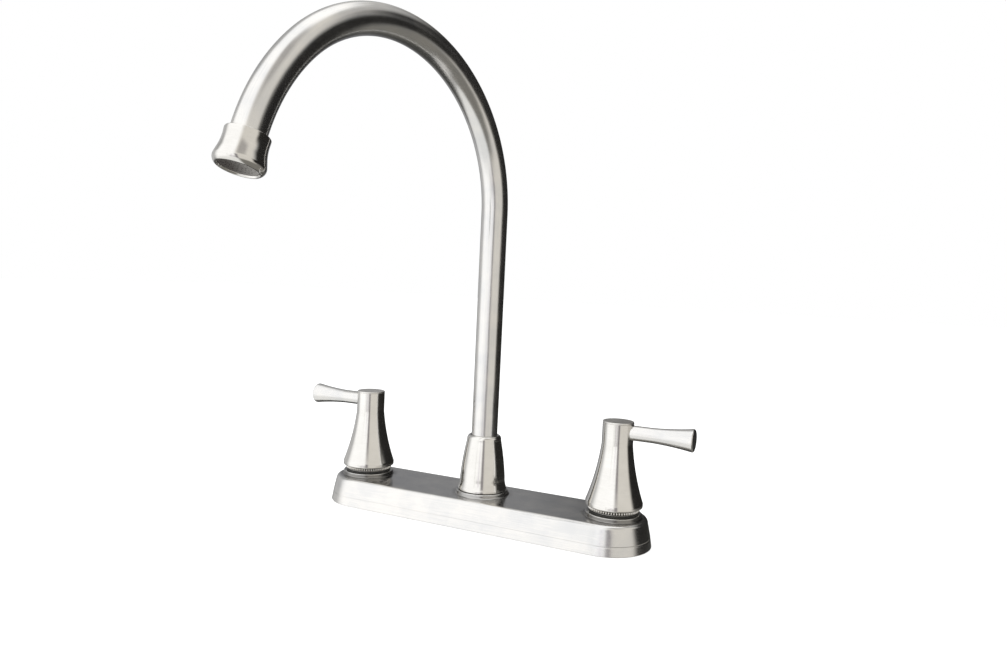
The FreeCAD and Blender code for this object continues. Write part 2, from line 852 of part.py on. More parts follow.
def aerator_housing():
    bore = spout_radius + slip_fit
    rim_foot = flat(bore, 0)
    rim = flat(bell_collar_radius, 0)
    collar_end = flat(bell_collar_radius, bell_collar_end)
    start, middle, end = corner(rim_foot, rim, collar_end, bell_collar_edge)
    flare = flat(bell_flare_radius, bell_flare_at)
    lip = flat(bell_lip_radius, bell_lip_at)
    swell = flat(bell_swell_radius, bell_swell_at)
    edge = flat(bell_lip_edge_radius, bell_length)
    edges = straight(rim_foot, start)
    edges.append(curve(start, middle, end))
    edges += straight(end, collar_end)
    edges.append(curve(collar_end, flat(bell_waist_radius, bell_waist_at), flare))
    edges.append(curve(flare, swell, lip))
    edges.append(curve(lip, flat(bell_lip_round_radius, bell_lip_round_at), edge))
    ledge_end = socket_depth + ledge_thickness
    edges += straight(
        edge,
        flat(aerator_pocket_radius, bell_length),
        flat(aerator_pocket_radius, ledge_end),
        flat(ledge_radius, ledge_end),
        flat(ledge_radius, socket_depth),
        flat(bore, socket_depth),
        rim_foot,
    )
    return to_outlet(turned(edges))


def aerator_washer():
    foot = socket_depth + ledge_thickness
    top = foot + aerator_washer_thickness
    return to_outlet(ring(ledge_radius, aerator_pocket_radius - drop_in_fit, foot, top))


def aerator_insert():
    """Flow straightener: a short plug with rings of small through holes."""
    start = socket_depth + ledge_thickness + aerator_washer_thickness
    end = bell_length - aerator_recess
    plug = cylinder(aerator_pocket_radius - drop_in_fit, start, end)
    holes = [cylinder(aerator_hole_radius, start - past, end + past)]
    for turn in range(1, aerator_hole_rings + 1):
        count = aerator_hole_step * turn
        for step in range(count):
            place = round_point(turn * aerator_hole_pitch, 2 * math.pi * step / count, 0)
            holes.append(cylinder(aerator_hole_radius, start - past, end + past, place.x, place.y))
    return to_outlet(plug.cut(holes))


# ---- the assembly ----
SINGLE_PIECES = {
    "deck_plate": deck_plate,
    "putty_plate": putty_plate,
    "deck_gasket": deck_gasket,
    "spout_hub": spout_hub,
    "collar_ring": collar_ring,
    "spout_collar": spout_collar,
    "spout_bearing": spout_bearing,
    "spout_end_fitting": spout_end_fitting,
    "spout_seals": spout_seals,
    "spout_snap_ring": spout_snap_ring,
    "spout_tube": spout_tube,
    "aerator_housing": aerator_housing,
    "aerator_washer": aerator_washer,
    "aerator_insert": aerator_insert,
}

# pieces that stand at each valve, made on the Z axis with their lever side towards -X
# and their spout side towards +X
VALVE_PIECES = {
    "valve_body": valve_body,
    "crossover_tube": crossover_tube,
    "mount_washer": mount_washer,
    "mount_nut": mount_nut,
    "seat_seal": seat_seal,
    "cartridge_body": cartridge_body,
    "fixed_disc": fixed_disc,
    "bonnet_nut": bonnet_nut,
    "base_ring": base_ring,
    "bead_ring": bead_ring,
    "moving_disc": moving_disc,
    "stem": stem,
    "stem_seal": stem_seal,
    "handle_hub": handle_hub,
    "handle_lever": lever,
    "handle_cap": handle_cap,
    "handle_screw": handle_screw,
}


def main():
    os.makedirs("parts", exist_ok=True)
    pieces = {name: make() for name, make in SINGLE_PIECES.items()}
    for name, make in VALVE_PIECES.items():
        shape = make()
        pieces["left_" + name] = at_valve(shape, -1)
        pieces["right_" + name] = at_valve(shape, 1)
    for name, shape in pieces.items():
        if not shape.isValid():
            raise ValueError(name + " is not a valid solid")
        shape.exportStep(os.path.join("parts", name + ".step"))
        print(name, len(shape.Solids), round(shape.Volume, 1))


main()
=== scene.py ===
import json
import math

import bmesh
import bpy
import numpy as np
from mathutils import Matrix, Vector
from mathutils.geometry import delaunay_2d_cdt

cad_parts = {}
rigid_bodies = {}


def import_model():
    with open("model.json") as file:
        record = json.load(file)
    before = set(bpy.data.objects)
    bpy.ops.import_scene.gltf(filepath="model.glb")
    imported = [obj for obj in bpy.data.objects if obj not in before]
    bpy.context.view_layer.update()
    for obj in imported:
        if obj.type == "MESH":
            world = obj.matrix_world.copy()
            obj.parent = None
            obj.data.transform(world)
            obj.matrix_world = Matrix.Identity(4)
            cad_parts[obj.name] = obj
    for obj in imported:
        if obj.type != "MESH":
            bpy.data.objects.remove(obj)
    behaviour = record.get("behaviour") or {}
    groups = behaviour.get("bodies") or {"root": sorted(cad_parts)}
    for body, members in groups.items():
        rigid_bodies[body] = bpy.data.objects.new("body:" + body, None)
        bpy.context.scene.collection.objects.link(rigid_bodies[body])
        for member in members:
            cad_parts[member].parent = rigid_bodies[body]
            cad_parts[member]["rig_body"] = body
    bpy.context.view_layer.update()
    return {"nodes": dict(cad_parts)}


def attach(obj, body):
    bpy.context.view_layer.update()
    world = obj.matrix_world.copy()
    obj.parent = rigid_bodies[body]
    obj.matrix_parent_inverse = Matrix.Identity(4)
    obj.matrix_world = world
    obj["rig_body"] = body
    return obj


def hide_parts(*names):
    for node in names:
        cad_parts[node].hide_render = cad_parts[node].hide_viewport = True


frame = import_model()

# Shapes are worked out in millimetres in the frame of the part, and scaled once,
# when a mesh is made. Heights are above the deck.
MM = 0.001
FULL = 2 * math.pi

# ---- sizes shared by several pieces ----
VALVE_X = 101.6
PLATE_HALF = 31.75
PLATE_END = 96.85               # from the middle to the centre of a rounded end
PLATE_TOP = 19.6
PLATE_WALL = 2.2
BOSS_RADIUS = 19.4
BOSS_TOP = 22.5
SKIRT_BOTTOM = 26.9
NECK_RADIUS = 10.7
HUB_TOP = 84.3
HANDLE_TOP = 85.5
LEVER_HEIGHT = 78.4
LEVER_LENGTH = 52.1
STEM_TOP = 66.0
SPOUT_RADIUS = 9.525
SPOUT_TURN = math.radians(-101.1)
RISER_TOP = 225.1
BEND_RADIUS = 104.0
BEND_SWEEP = math.radians(134.2)
LEAD_RADIUS = 127.9
LEAD_SWEEP = math.radians(28.7)
TUBE_FOOT = 35.0
SOCKET = 8.0
BELL_LENGTH = 19.4


# ---- outlines: lists of (radius, height) points ----
def arc(start, middle, end, steps):
    """Points on the arc through three, without its start."""
    (ax, ay), (bx, by), (cx, cy) = start, middle, end
    det = 2 * (ax * (by - cy) + bx * (cy - ay) + cx * (ay - by))
    a2 = ax * ax + ay * ay
    b2 = bx * bx + by * by
    c2 = cx * cx + cy * cy
    ux = (a2 * (by - cy) + b2 * (cy - ay) + c2 * (ay - by)) / det
    uy = (a2 * (cx - bx) + b2 * (ax - cx) + c2 * (bx - ax)) / det
    radius = math.hypot(ax - ux, ay - uy)
    first = math.atan2(ay - uy, ax - ux)
    to_middle = (math.atan2(by - uy, bx - ux) - first) % FULL
    to_end = (math.atan2(cy - uy, cx - ux) - first) % FULL
    sweep = to_end if to_middle < to_end else to_end - FULL
    found = []
    for step in range(1, steps + 1):
        angle = first + sweep * step / steps
        found.append((ux + radius * math.cos(angle), uy + radius * math.sin(angle)))
    return found


def rounded(before, point, after, radius, steps):
    """Points of the small arc that rounds a corner."""
    p = np.array(point, float)
    back = np.array(before, float) - p
    on = np.array(after, float) - p
    room = 0.45 * min(np.linalg.norm(back), np.linalg.norm(on))
    back /= np.linalg.norm(back)
    on /= np.linalg.norm(on)
    half = math.acos(max(-1.0, min(1.0, float(back @ on)))) / 2
    if half > math.radians(86):
        return [tuple(p)]
    reach = min(radius / math.tan(half), room)
    radius = reach * math.tan(half)
    inward = (back + on) / np.linalg.norm(back + on)
    middle = p + inward * (radius / math.sin(half) - radius)
    start = tuple(p + back * reach)
    return [start] + arc(start, tuple(middle), tuple(p + on * reach), steps)


def outline(corners, closed=True, steps=4):
    """Turns corners into points. A corner is (r, z), (r, z, rounding) or ("arc", r, z, steps).

    The last kind lies between two corners and bows the line that joins them."""
    plain = []
    rounding = []
    bow = None
    for item in corners:
        if item[0] == "arc":
            bow = item
            continue
        if bow:
            curve = arc(plain[-1], (bow[1], bow[2]), (item[0], item[1]), bow[3])
            plain += curve
            rounding += [0.0] * len(curve)
            bow = None
        else:
            plain.append((item[0], item[1]))
            rounding.append(0.0)
        rounding[-1] = item[2] if len(item) > 2 else 0.0
    found = []
    for i, point in enumerate(plain):
        inside = closed or 0 < i < len(plain) - 1
        if rounding[i] and inside:
            after = plain[(i + 1) % len(plain)]
            found += rounded(plain[i - 1], point, after, rounding[i], steps)
        else:
            found.append(point)
    return found


def subdivided(points, longest):
    """The outline with its long steps split, so that faces stay compact."""
    found = [points[0]]
    for a, b in zip(points, points[1:]):
        count = max(1, math.ceil(math.dist(a, b) / longest))
        for step in range(1, count + 1):
            share = step / count
            found.append((a[0] + (b[0] - a[0]) * share, a[1] + (b[1] - a[1]) * share))
    return found


# ---- shapes: points, faces and the way the grain runs ----
class Shape:
    """Collects grids of points and loose faces, in millimetres.

    The grain of a point is its place on the piece as if the piece were straight:
    two numbers across its length and one along it."""

    def __init__(self):
        self.points = []
        self.grain = []
        self.faces = []
        self.count = 0

    def add(self, points, grain, faces):
        points = np.asarray(points, float).reshape(-1, 3)
        self.points.append(points)
        self.grain.append(np.asarray(grain, float).reshape(-1, 3))
        self.faces += [[i + self.count for i in face] for face in faces]
        self.count += len(points)
        return self

    def grid(self, points, grain, wrap_rows=False):
        """Quads between the rows of an array of points. The columns always go all round."""
        rows, columns = points.shape[:2]
        faces = []
        for i in range(rows if wrap_rows else rows - 1):
            low = i * columns
            high = (i + 1) % rows * columns
            for j in range(columns):
                k = (j + 1) % columns
                faces.append((low + j, low + k, high + k, high + j))
        return self.add(points, grain, faces)

    def moved(self, matrix):
        """Places the shape; its grain stays with it."""
        turn = np.array(matrix.to_3x3(), float)
        shift = np.array(matrix.translation, float)
        self.points = [p @ turn.T + shift for p in self.points]
        return self


OUTLINE_GRAIN = 0.35            # share of the way along an outline that runs on in the grain's length


def turned(points, turns=128, closed=True, reach=None):
    """An outline turned about the Z axis. reach(radius, height, angle) may change the radius."""
    flat = np.array(points, float)
    if closed:
        flat = np.vstack([flat, flat[:1]])
    length = np.concatenate([[0], np.cumsum(np.linalg.norm(np.diff(flat, axis=0), axis=1))])
    if closed:
        flat = flat[:-1]
        length = length[:-1]
    angle = np.linspace(0, FULL, turns, endpoint=False)[None, :]
    radius = np.repeat(flat[:, :1], turns, axis=1)
    height = np.repeat(flat[:, 1:], turns, axis=1)
    if reach:
        radius = reach(radius, height, angle)
    x = radius * np.cos(angle)
    y = radius * np.sin(angle)
    grain = np.stack([x, y, height + OUTLINE_GRAIN * length[:, None]], axis=2)
    return Shape().grid(np.stack([x, y, height], axis=2), grain, wrap_rows=closed)


def filled(shape, height, loops, spacing, up, inside):
    """A flat face at one height between an outer loop and holes, in even triangles."""
    clearance = 0.6 * spacing
    places = []
    edges = []
    for loop in loops:
        first = len(places)
        places += [tuple(p) for p in loop]
        count = len(loop)
        edges += [(first + i, first + (i + 1) % count) for i in range(count)]
    rim = np.array(places)
    low = rim.min(0)
    high = rim.max(0)
    row = 0
    y = low[1] + spacing / 2
    while y < high[1]:
        x = low[0] + spacing * (0.5 + 0.5 * (row % 2))
        while x < high[0]:
            if inside(x, y) and np.min(np.hypot(rim[:, 0] - x, rim[:, 1] - y)) > clearance:
                places.append((x, y))
            x += spacing
        y += spacing * math.sqrt(0.75)
        row += 1
    found = delaunay_2d_cdt([Vector(p) for p in places], edges, [], 0, 1e-5)
    flat = np.array([tuple(v) for v in found[0]])
    faces = []
    for face in found[2]:
        middle = flat[list(face)].mean(0)
        if inside(middle[0], middle[1]):
            faces.append(tuple(face) if up else tuple(reversed(face)))
    points = np.column_stack([flat, np.full(len(flat), height)])
    return shape.add(points, points[:, [1, 2, 0]], faces)


def circle(radius, x, y, turns):
    angle = np.linspace(0, FULL, turns, endpoint=False)
    return np.column_stack([x + radius * np.cos(angle), y + radius * np.sin(angle)])


def drill(radius, foot, top, turns=32):
    """A cylinder on the Z axis, to cut a hole with."""
    return turned([(0.0, foot), (radius, foot), (radius, top), (0.0, top)], turns, closed=False)


# ---- from shape to object ----
SHARP = 38.0                    # degrees between two faces from which their edge stays crisp
MERGE = 2e-6                    # metres; points nearer than this become one
SHORTEST = 1e-7                 # metres; shorter edges are taken out


def mesh_object(name, shape, sharp):
    """Makes the object: points merged, faces turned outwards, smooth with crisp corners kept."""
    mesh = bpy.data.meshes.new(name)
    points = np.vstack(shape.points) * MM
    mesh.from_pydata(points.tolist(), [], shape.faces)
    grain = mesh.attributes.new("grain", "FLOAT_VECTOR", "POINT")
    grain.data.foreach_set("vector", np.vstack(shape.grain).astype(np.float32).ravel())
    work = bmesh.new()
    work.from_mesh(mesh)
    bmesh.ops.remove_doubles(work, verts=work.verts, dist=MERGE)
    bmesh.ops.dissolve_degenerate(work, edges=work.edges, dist=SHORTEST)
    bmesh.ops.recalc_face_normals(work, faces=work.faces)
    work.to_mesh(mesh)
    work.free()
    made = bpy.data.objects.new(name, mesh)
    bpy.context.scene.collection.objects.link(made)
    smooth(made, sharp)
    return made


def smooth(made, sharp):
    made.data.shade_smooth()
    made.data.set_sharp_from_angle(angle=math.radians(sharp))
    if not made.modifiers:
        weighted = made.modifiers.new("even_normals", "WEIGHTED_NORMAL")
        weighted.keep_sharp = True


def cut(made, cutters, sharp):
    """Takes the cutters' shapes out of an object's mesh."""
    for shape in cutters:
        tool = mesh_object(made.name + "_cutter", shape, SHARP)
        tool.modifiers.clear()
        made.modifiers.clear()
        step = made.modifiers.new("cut", "BOOLEAN")
        step.operation = "DIFFERENCE"
        step.solver = "EXACT"
        step.object = tool
        bpy.context.view_layer.update()
        graph = bpy.context.evaluated_depsgraph_get()
        result = bpy.data.meshes.new_from_object(made.evaluated_get(graph))
        made.modifiers.clear()
        old = made.data
        made.data = result
        bpy.data.meshes.remove(old)
        used = tool.data
        bpy.data.objects.remove(tool)
        bpy.data.meshes.remove(used)
    made.data.name = made.name
    smooth(made, sharp)


def piece(node, shape, slot, sharp=SHARP, cutters=()):
    """Makes a finished piece and puts it on its body, in place of its CAD node."""
    made = mesh_object(node + "_finished", shape, sharp)
    if cutters:
        cut(made, cutters, sharp)
    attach(made, frame["nodes"][node]["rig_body"])
    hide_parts(node)
    made.data.materials.clear()
    made.data.materials.append(MATERIALS[slot])
    return made


def at_valve(shape, side):
    """Moves a shape from the Z axis to a valve, the right one turned half round."""
    turn = Matrix.Rotation(math.pi if side > 0 else 0.0, 4, "Z")
    return shape.moved(Matrix.Translation((side * VALVE_X, 0, 0)) @ turn)


# ---- materials ----
def nodes_of(name):
    """A new material with a shader that has nothing linked yet."""
    material = bpy.data.materials.new(name)
    material.use_nodes = True
    tree = material.node_tree
    tree.nodes.clear()
    shader = tree.nodes.new("ShaderNodeBsdfPrincipled")
    output = tree.nodes.new("ShaderNodeOutputMaterial")
    tree.links.new(shader.outputs[0], output.inputs[0])
    return material, tree, shader


def math_node(tree, operation, a, b=0.0):
    """One step of arithmetic. Each input is a number or another node's output."""
    node = tree.nodes.new("ShaderNodeMath")
    node.operation = operation
    for socket, value in zip(node.inputs, (a, b)):
        if isinstance(value, (int, float)):
            socket.default_value = value
        else:
            tree.links.new(value, socket)
    return node.outputs[0]


def stretched(tree, source, scale):
    """Coordinates in millimetres, stretched along the grain."""
    mapping = tree.nodes.new("ShaderNodeMapping")
    mapping.inputs["Scale"].default_value = scale
    tree.links.new(source, mapping.inputs["Vector"])
    return mapping.outputs[0]


def grain_source(tree, own_grain):
    """Millimetres along the piece's own grain or, on a mesh without one, in its own frame."""
    if own_grain:
        node = tree.nodes.new("ShaderNodeAttribute")
        node.attribute_name = "grain"
        return node.outputs["Vector"]
    metres = tree.nodes.new("ShaderNodeTexCoord").outputs["Object"]
    scale = tree.nodes.new("ShaderNodeVectorMath")
    scale.operation = "SCALE"
    scale.inputs["Scale"].default_value = 1 / MM
    tree.links.new(metres, scale.inputs[0])
    return scale.outputs[0]


def noise(tree, vector, scale, detail, roughness):
    node = tree.nodes.new("ShaderNodeTexNoise")
    node.inputs["Scale"].default_value = scale
    node.inputs["Detail"].default_value = detail
    node.inputs["Roughness"].default_value = roughness
    tree.links.new(vector, node.inputs["Vector"])
    return node.outputs["Fac"]


NOISE_LOW = 0.3                 # nearly all of a noise lies between these
NOISE_HIGH = 0.7


def ranged(tree, value, low, high):
    """A noise mapped to a range of numbers."""
    node = tree.nodes.new("ShaderNodeMapRange")
    node.inputs["From Min"].default_value = NOISE_LOW
    node.inputs["From Max"].default_value = NOISE_HIGH
    node.inputs["To Min"].default_value = low
    node.inputs["To Max"].default_value = high
    tree.links.new(value, node.inputs["Value"])
    return node.outputs["Result"]


def colour_between(tree, value, low, high, first=NOISE_LOW, last=NOISE_HIGH):
    """A noise mapped to the colours between two."""
    ramp = tree.nodes.new("ShaderNodeValToRGB")
    ramp.color_ramp.elements[0].position = first
    ramp.color_ramp.elements[1].position = last
    ramp.color_ramp.elements[0].color = (*low, 1)
    ramp.color_ramp.elements[1].color = (*high, 1)
    tree.links.new(value, ramp.inputs["Fac"])
    return ramp.outputs["Color"]


def bump(tree, shader, height, distance):
    """Gives the shader a relief, in millimetres."""
    node = tree.nodes.new("ShaderNodeBump")
    node.inputs["Strength"].default_value = 0.5
    node.inputs["Distance"].default_value = distance * MM
    tree.links.new(height, node.inputs["Height"])
    tree.links.new(node.outputs["Normal"], shader.inputs["Normal"])


# the sockets of a Mix node for colours
MIX_SHARE = 0
MIX_FIRST = 6
MIX_SECOND = 7
MIX_RESULT = 2


def mix_node(tree, share, first, second, label=""):
    """A mix of two colours, each written down or another node's output."""
    node = tree.nodes.new("ShaderNodeMix")
    node.data_type = "RGBA"
    node.label = label
    tree.links.new(share, node.inputs[MIX_SHARE])
    for socket, value in ((node.inputs[MIX_FIRST], first), (node.inputs[MIX_SECOND], second)):
        if isinstance(value, tuple):
            socket.default_value = (*value, 1)
        else:
            tree.links.new(value, socket)
    return node.outputs[MIX_RESULT]


def with_painted_shade(tree, colour, painted_shade):
    """Paints shade: darkens the colour where the mesh carries painted shade; a mesh without it stays as it
    is.
    """
    amount = tree.nodes.new("ShaderNodeAttribute")
    amount.attribute_name = "painted_shade"
    strongest = 0.85
    return mix_node(tree, math_node(tree, "MULTIPLY", amount.outputs["Fac"], strongest), colour, painted_shade)


def weighted_sum(tree, a, weight_a, b, weight_b):
    weighted_a = math_node(tree, "MULTIPLY", a, weight_a)
    weighted_b = math_node(tree, "MULTIPLY", b, weight_b)
    return math_node(tree, "ADD", weighted_a, weighted_b)


# colours of the painted shade, on metal and on plastic
PAINTED_SHADE_METAL = (0.17, 0.165, 0.155)
PAINTED_SHADE_PLASTIC = (0.045, 0.036, 0.032)


def metal(name, dark, light, rough, stretch, relief, own_grain=True, wave=0.02):
    """Brushed or polished metal: fine lines along the grain, soft patches and a slight waviness."""
    material, tree, shader = nodes_of(name)
    source = grain_source(tree, own_grain)
    lines = noise(tree, stretched(tree, source, stretch), 1.0, 3.0, 0.6)
    blotches = noise(tree, source, 0.05, 3.0, 0.55)
    both = weighted_sum(tree, lines, 0.4, blotches, 0.6)
    colour = colour_between(tree, both, dark, light, 0.38, 0.62)
    # painted shade where the mesh carries it (the plate's bosses)
    if own_grain:
        colour = with_painted_shade(tree, colour, PAINTED_SHADE_METAL)
    tree.links.new(colour, shader.inputs["Base Color"])
    tree.links.new(ranged(tree, both, rough[0], rough[1]), shader.inputs["Roughness"])
    shader.inputs["Metallic"].default_value = 1.0
    swell = noise(tree, source, 0.045, 1.0, 0.4)
    bump(tree, shader, weighted_sum(tree, lines, relief, swell, wave), 1.0)
    return material


def moulded(name, dark, light, rough, grit, relief, specular=0.4):
    """Rubber, plastic or ceramic: a fine pebbled skin with uneven colour."""
    material, tree, shader = nodes_of(name)
    source = grain_source(tree, False)
    skin = noise(tree, source, grit, 4.0, 0.6)
    blotches = noise(tree, source, 0.12, 2.0, 0.5)
    # painted shade where the mesh carries it (the flow straightener)
    colour = with_painted_shade(tree, colour_between(tree, blotches, dark, light), PAINTED_SHADE_PLASTIC)
    tree.links.new(colour, shader.inputs["Base Color"])
    tree.links.new(ranged(tree, skin, rough[0], rough[1]), shader.inputs["Roughness"])
    shader.inputs["Specular IOR Level"].default_value = specular
    bump(tree, shader, skin, relief)
    return material


# stretch: how fast the lines change across the piece (twice) and along its length
LENGTHWISE = (2.4, 2.4, 0.035)
ROUND = (0.12, 0.12, 2.8)

MATERIALS = {
    "satin_nickel": metal(
        "satin_nickel",
        (0.672, 0.672, 0.672),
        (0.79, 0.774, 0.748),
        (0.17, 0.26),
        LENGTHWISE,
        0.002,
        wave=0.5,
    ),
    "polished_nickel": metal(
        "polished_nickel",
        (0.71, 0.696, 0.668),
        (0.795, 0.781, 0.755),
        (0.1, 0.16),
        ROUND,
        0.0015,
        wave=0.05,
    ),
    "brass": metal(
        "brass", (0.62, 0.42, 0.17), (0.78, 0.57, 0.27), (0.26, 0.42), ROUND, 0.01, own_grain=False
    ),
    "copper_tube": metal(
        "copper_tube",
        (0.66, 0.3, 0.18),
        (0.83, 0.43, 0.29),
        (0.22, 0.36),
        LENGTHWISE,
        0.006,
        own_grain=False,
    ),
    "stainless_steel": metal(
        "stainless_steel", (0.52, 0.51, 0.5), (0.64, 0.63, 0.62), (0.2, 0.32), ROUND, 0.006, own_grain=False
    ),
    "black_rubber": moulded(
        "black_rubber", (0.022, 0.022, 0.021), (0.05, 0.049, 0.044), (0.4, 0.6), 3.0, 0.03
    ),
    "black_plastic": moulded(
        "black_plastic", (0.018, 0.018, 0.019), (0.03, 0.03, 0.031), (0.35, 0.5), 2.2, 0.03
    ),
    "grey_plastic": moulded(
        "grey_plastic", (0.3, 0.288, 0.27), (0.4, 0.386, 0.36), (0.3, 0.42), 1.0, 0.004
    ),
    "ceramic": moulded(
        "ceramic", (0.74, 0.72, 0.68), (0.82, 0.8, 0.77), (0.12, 0.22), 4.0, 0.004, specular=0.5
    ),
}
# finishes of single pieces, in the slots of the metals above
TURNED_BRASS = metal("turned_brass", (0.62, 0.42, 0.17), (0.78, 0.57, 0.27), (0.26, 0.42), ROUND, 0.01)
# dark metal for the painted shade in the gaps between beads
BEAD_GAP_SHADE = metal("painted_gap_shade", (0.035, 0.034, 0.031), (0.07, 0.067, 0.06), (0.4, 0.6), ROUND, 0.01)
FACED_NICKEL = metal("faced_nickel", (0.71, 0.696, 0.668), (0.8, 0.785, 0.76), (0.33, 0.43), ROUND, 0.003)


# ---- deck plate ----
# A band runs round the foot of the plate, with a small groove above it and the wall above
# that. Each has a height, and stands in from the plate's foot by so much.
BAND_TOP = 5.5
BAND_BACK = 0.9
GROOVE_MIDDLE = 6.1
GROOVE_BACK = 1.15
WALL_FOOT = 6.9
WALL_BACK = 1.1
WALL_LEAN = math.radians(12.5)
FLAT_START = 22.0               # half width at which the plate's top and ceiling are surely flat

# the bosses: place along X and radius of the hole
BOSSES = [(-VALVE_X, 15.0), (0.0, 14.3), (VALVE_X, 15.0)]


def stadium_ring(turns=48, steps=44):
    """The plate's middle line: for each point of the outline its base point and its direction."""
    base = []
    out = []
    for side in (1, -1):
        for step in range(turns):
            angle = -math.pi / 2 + math.pi * step / turns + (0 if side > 0 else math.pi)
            base.append((side * PLATE_END, 0))
            out.append((math.cos(angle), math.sin(angle)))
        for step in range(steps):
            base.append((side * PLATE_END * (1 - 2 * step / steps), 0))
            out.append((0, side))
    return np.array(base, float), np.array(out, float)


def stadium_rows(points):
    """Rings round the plate, one for each (half width, height) of an outline."""
    base, out = stadium_ring()
    rows = []
    for half, height in points:
        flat = base + out * half
        rows.append(np.column_stack([flat, np.full(len(flat), height)]))
    return np.array(rows)


def wall_back(height):
    """How far the plate's side wall stands in from its foot at a height above the groove."""
    return WALL_BACK + (height - WALL_FOOT) * math.tan(WALL_LEAN)


def boss_outline(x, hole, ceiling):
    """From the foot of a boss over its top and down its hole. The middle boss is softer."""
    foot_ease, top_ease = (0.9, 0.7) if x else (2.6, 1.3)
    corners = [
        (BOSS_RADIUS + 6, PLATE_TOP),
        (BOSS_RADIUS, PLATE_TOP, foot_ease),
        (BOSS_RADIUS - 0.1, BOSS_TOP, top_ease),
        (hole, BOSS_TOP, 0.25),
        (hole, ceiling),
    ]
    return outline(corners, closed=False, steps=9)[1:]


def within(width, holes):
    """The test for a point inside a rounded outline of that half width and outside the holes."""

    def inside(px, py):
        along = max(abs(px) - PLATE_END, 0.0)
        if math.hypot(along, py) > width:
            return False
        return all(math.hypot(px - x, py) > radius for x, radius in holes)

    return inside


def plate_shape():
    shape = Shape()
    half = PLATE_HALF
    outer = outline(
        [
            (half - PLATE_WALL, 0.0, 0.25),
            (half, 0.0, 0.35),
            (half - BAND_BACK, BAND_TOP, 0.45),
            ("arc", half - GROOVE_BACK, GROOVE_MIDDLE, 5),
            (half - WALL_BACK, WALL_FOOT, 0.6),
            (half - wall_back(PLATE_TOP), PLATE_TOP, 3.3),
            (FLAT_START, PLATE_TOP),
        ],
        closed=False,
        steps=10,
    )
    flat_half = outer[-2][0]
    ceiling = PLATE_TOP - PLATE_WALL
    inner = outline(
        [
            (half - PLATE_WALL, 0.0),
            (half - PLATE_WALL - BAND_BACK, BAND_TOP),
            (half - PLATE_WALL - WALL_BACK, WALL_FOOT),
            (half - PLATE_WALL - wall_back(ceiling), ceiling, 1.2),
            (FLAT_START, ceiling),
        ],
        closed=False,
    )
    inner_half = inner[-2][0]
    outer = subdivided(outer[:-1], 2.2)
    inner = subdivided(inner[:-1], 3.0)
    rows = stadium_rows(list(reversed(inner)) + outer)
    shape.grid(rows, rows[:, :, [1, 2, 0]])

    turns = 112
    top_holes = []
    for x, hole in BOSSES:
        corners = boss_outline(x, hole, ceiling)
        top_holes.append((x, corners[0][0]))
        boss = turned(subdivided(corners, 1.6), turns, closed=False).moved(Matrix.Translation((x, 0, 0)))
        shape.add(boss.points[0], boss.points[0][:, [1, 2, 0]], boss.faces)

    base, out = stadium_ring()
    loops = [base + out * flat_half] + [circle(radius, x, 0, turns) for x, radius in top_holes]
    filled(shape, PLATE_TOP, loops, 3.0, True, within(flat_half, top_holes))
    loops = [base + out * inner_half] + [circle(hole, x, 0, turns) for x, hole in BOSSES]
    filled(shape, ceiling, loops, 4.0, False, within(inner_half, BOSSES))
    return shape


def write_painted_shade(made, values):
    """Stores how much painted shade each point of a mesh has, from 0 to 1."""
    painted_shade = made.data.attributes.new("painted_shade", "FLOAT", "POINT")
    painted_shade.data.foreach_set("value", values)


def shade_bosses(made):
    """Paints shade on the side and foot of each boss, fading out over the plate."""
    reach = 3.0                 # how far the painted shade goes out over the plate
    rim = 0.5                   # height of a boss's rounded rim, which gets less painted shade, as its top does
    rim_shade = 0.35
    middle_shade = 0.65         # the middle boss gets less painted shade than the two under the handles
    values = []
    for vertex in made.data.vertices:
        x, y, z = vertex.co / MM
        across = min(math.hypot(x - boss, y) for boss, hole in BOSSES)
        most = 1.0 if abs(x) > VALVE_X / 2 else middle_shade
        if z < PLATE_TOP - 0.1:
            values.append(0.0)
        elif across > BOSS_RADIUS:
            values.append(most * max(0.0, 1 - (across - BOSS_RADIUS) / reach))
        elif z < BOSS_TOP - rim:
            values.append(most)
        else:
            values.append(rim_shade * most)
    write_painted_shade(made, values)


# ---- rings between plate and handle ----
RING_BORE = 14.8
BEAD_SEAT = 24.1                # top of the base ring, where the bead ring sits
BEAD_FLANGE = 16.9
BEAD_FOOT = 24.3
BEAD_TOP = 26.6
BEAD_ROOT = 16.2
BEAD_DEPTH = 1.6
BEAD_SHARE = 0.74               # of the pitch; the rest is the gap between two beads
BEADS = 60


def ring_shape(inner, outer, foot, top, rounding):
    """A plain ring with rounded edges."""
    corners = [(inner, foot), (outer, foot), (outer, top), (inner, top)]
    return turned(outline([(*corner, rounding) for corner in corners]))


def bead_reach(radius, height, angle):
    """Pushes the band out into round beads between its foot and its top."""
    middle = (BEAD_FOOT + BEAD_TOP) / 2
    up = (height - middle) / (BEAD_TOP - middle)
    across = (np.mod(angle * BEADS / FULL + 0.5, 1.0) * 2 - 1) / BEAD_SHARE
    dome = np.sqrt(np.clip(1 - across**2 - 0.55 * up**2, 0, 1))
    band = (abs(radius - BEAD_ROOT) < 0.2) & (height > BEAD_FOOT - 0.01)
    return radius + np.where(band, BEAD_DEPTH * dome, 0)


def bead_shape():
    """Beaded ring: a low flange with a band of beads on it."""
    flange = [(RING_BORE, BEAD_SEAT, 0.1), (BEAD_FLANGE, BEAD_SEAT, 0.1), (BEAD_FLANGE, BEAD_FOOT)]
    lower = outline(flange + [(BEAD_ROOT, BEAD_FOOT)], closed=False)
    band = [(BEAD_ROOT, BEAD_FOOT + (BEAD_TOP - BEAD_FOOT) * step / 12) for step in range(1, 12)]
    points = [(RING_BORE, 25.5)] + lower + band + [(BEAD_ROOT, BEAD_TOP), (RING_BORE, BEAD_TOP)]
    return turned(points, BEADS * 14, reach=bead_reach)


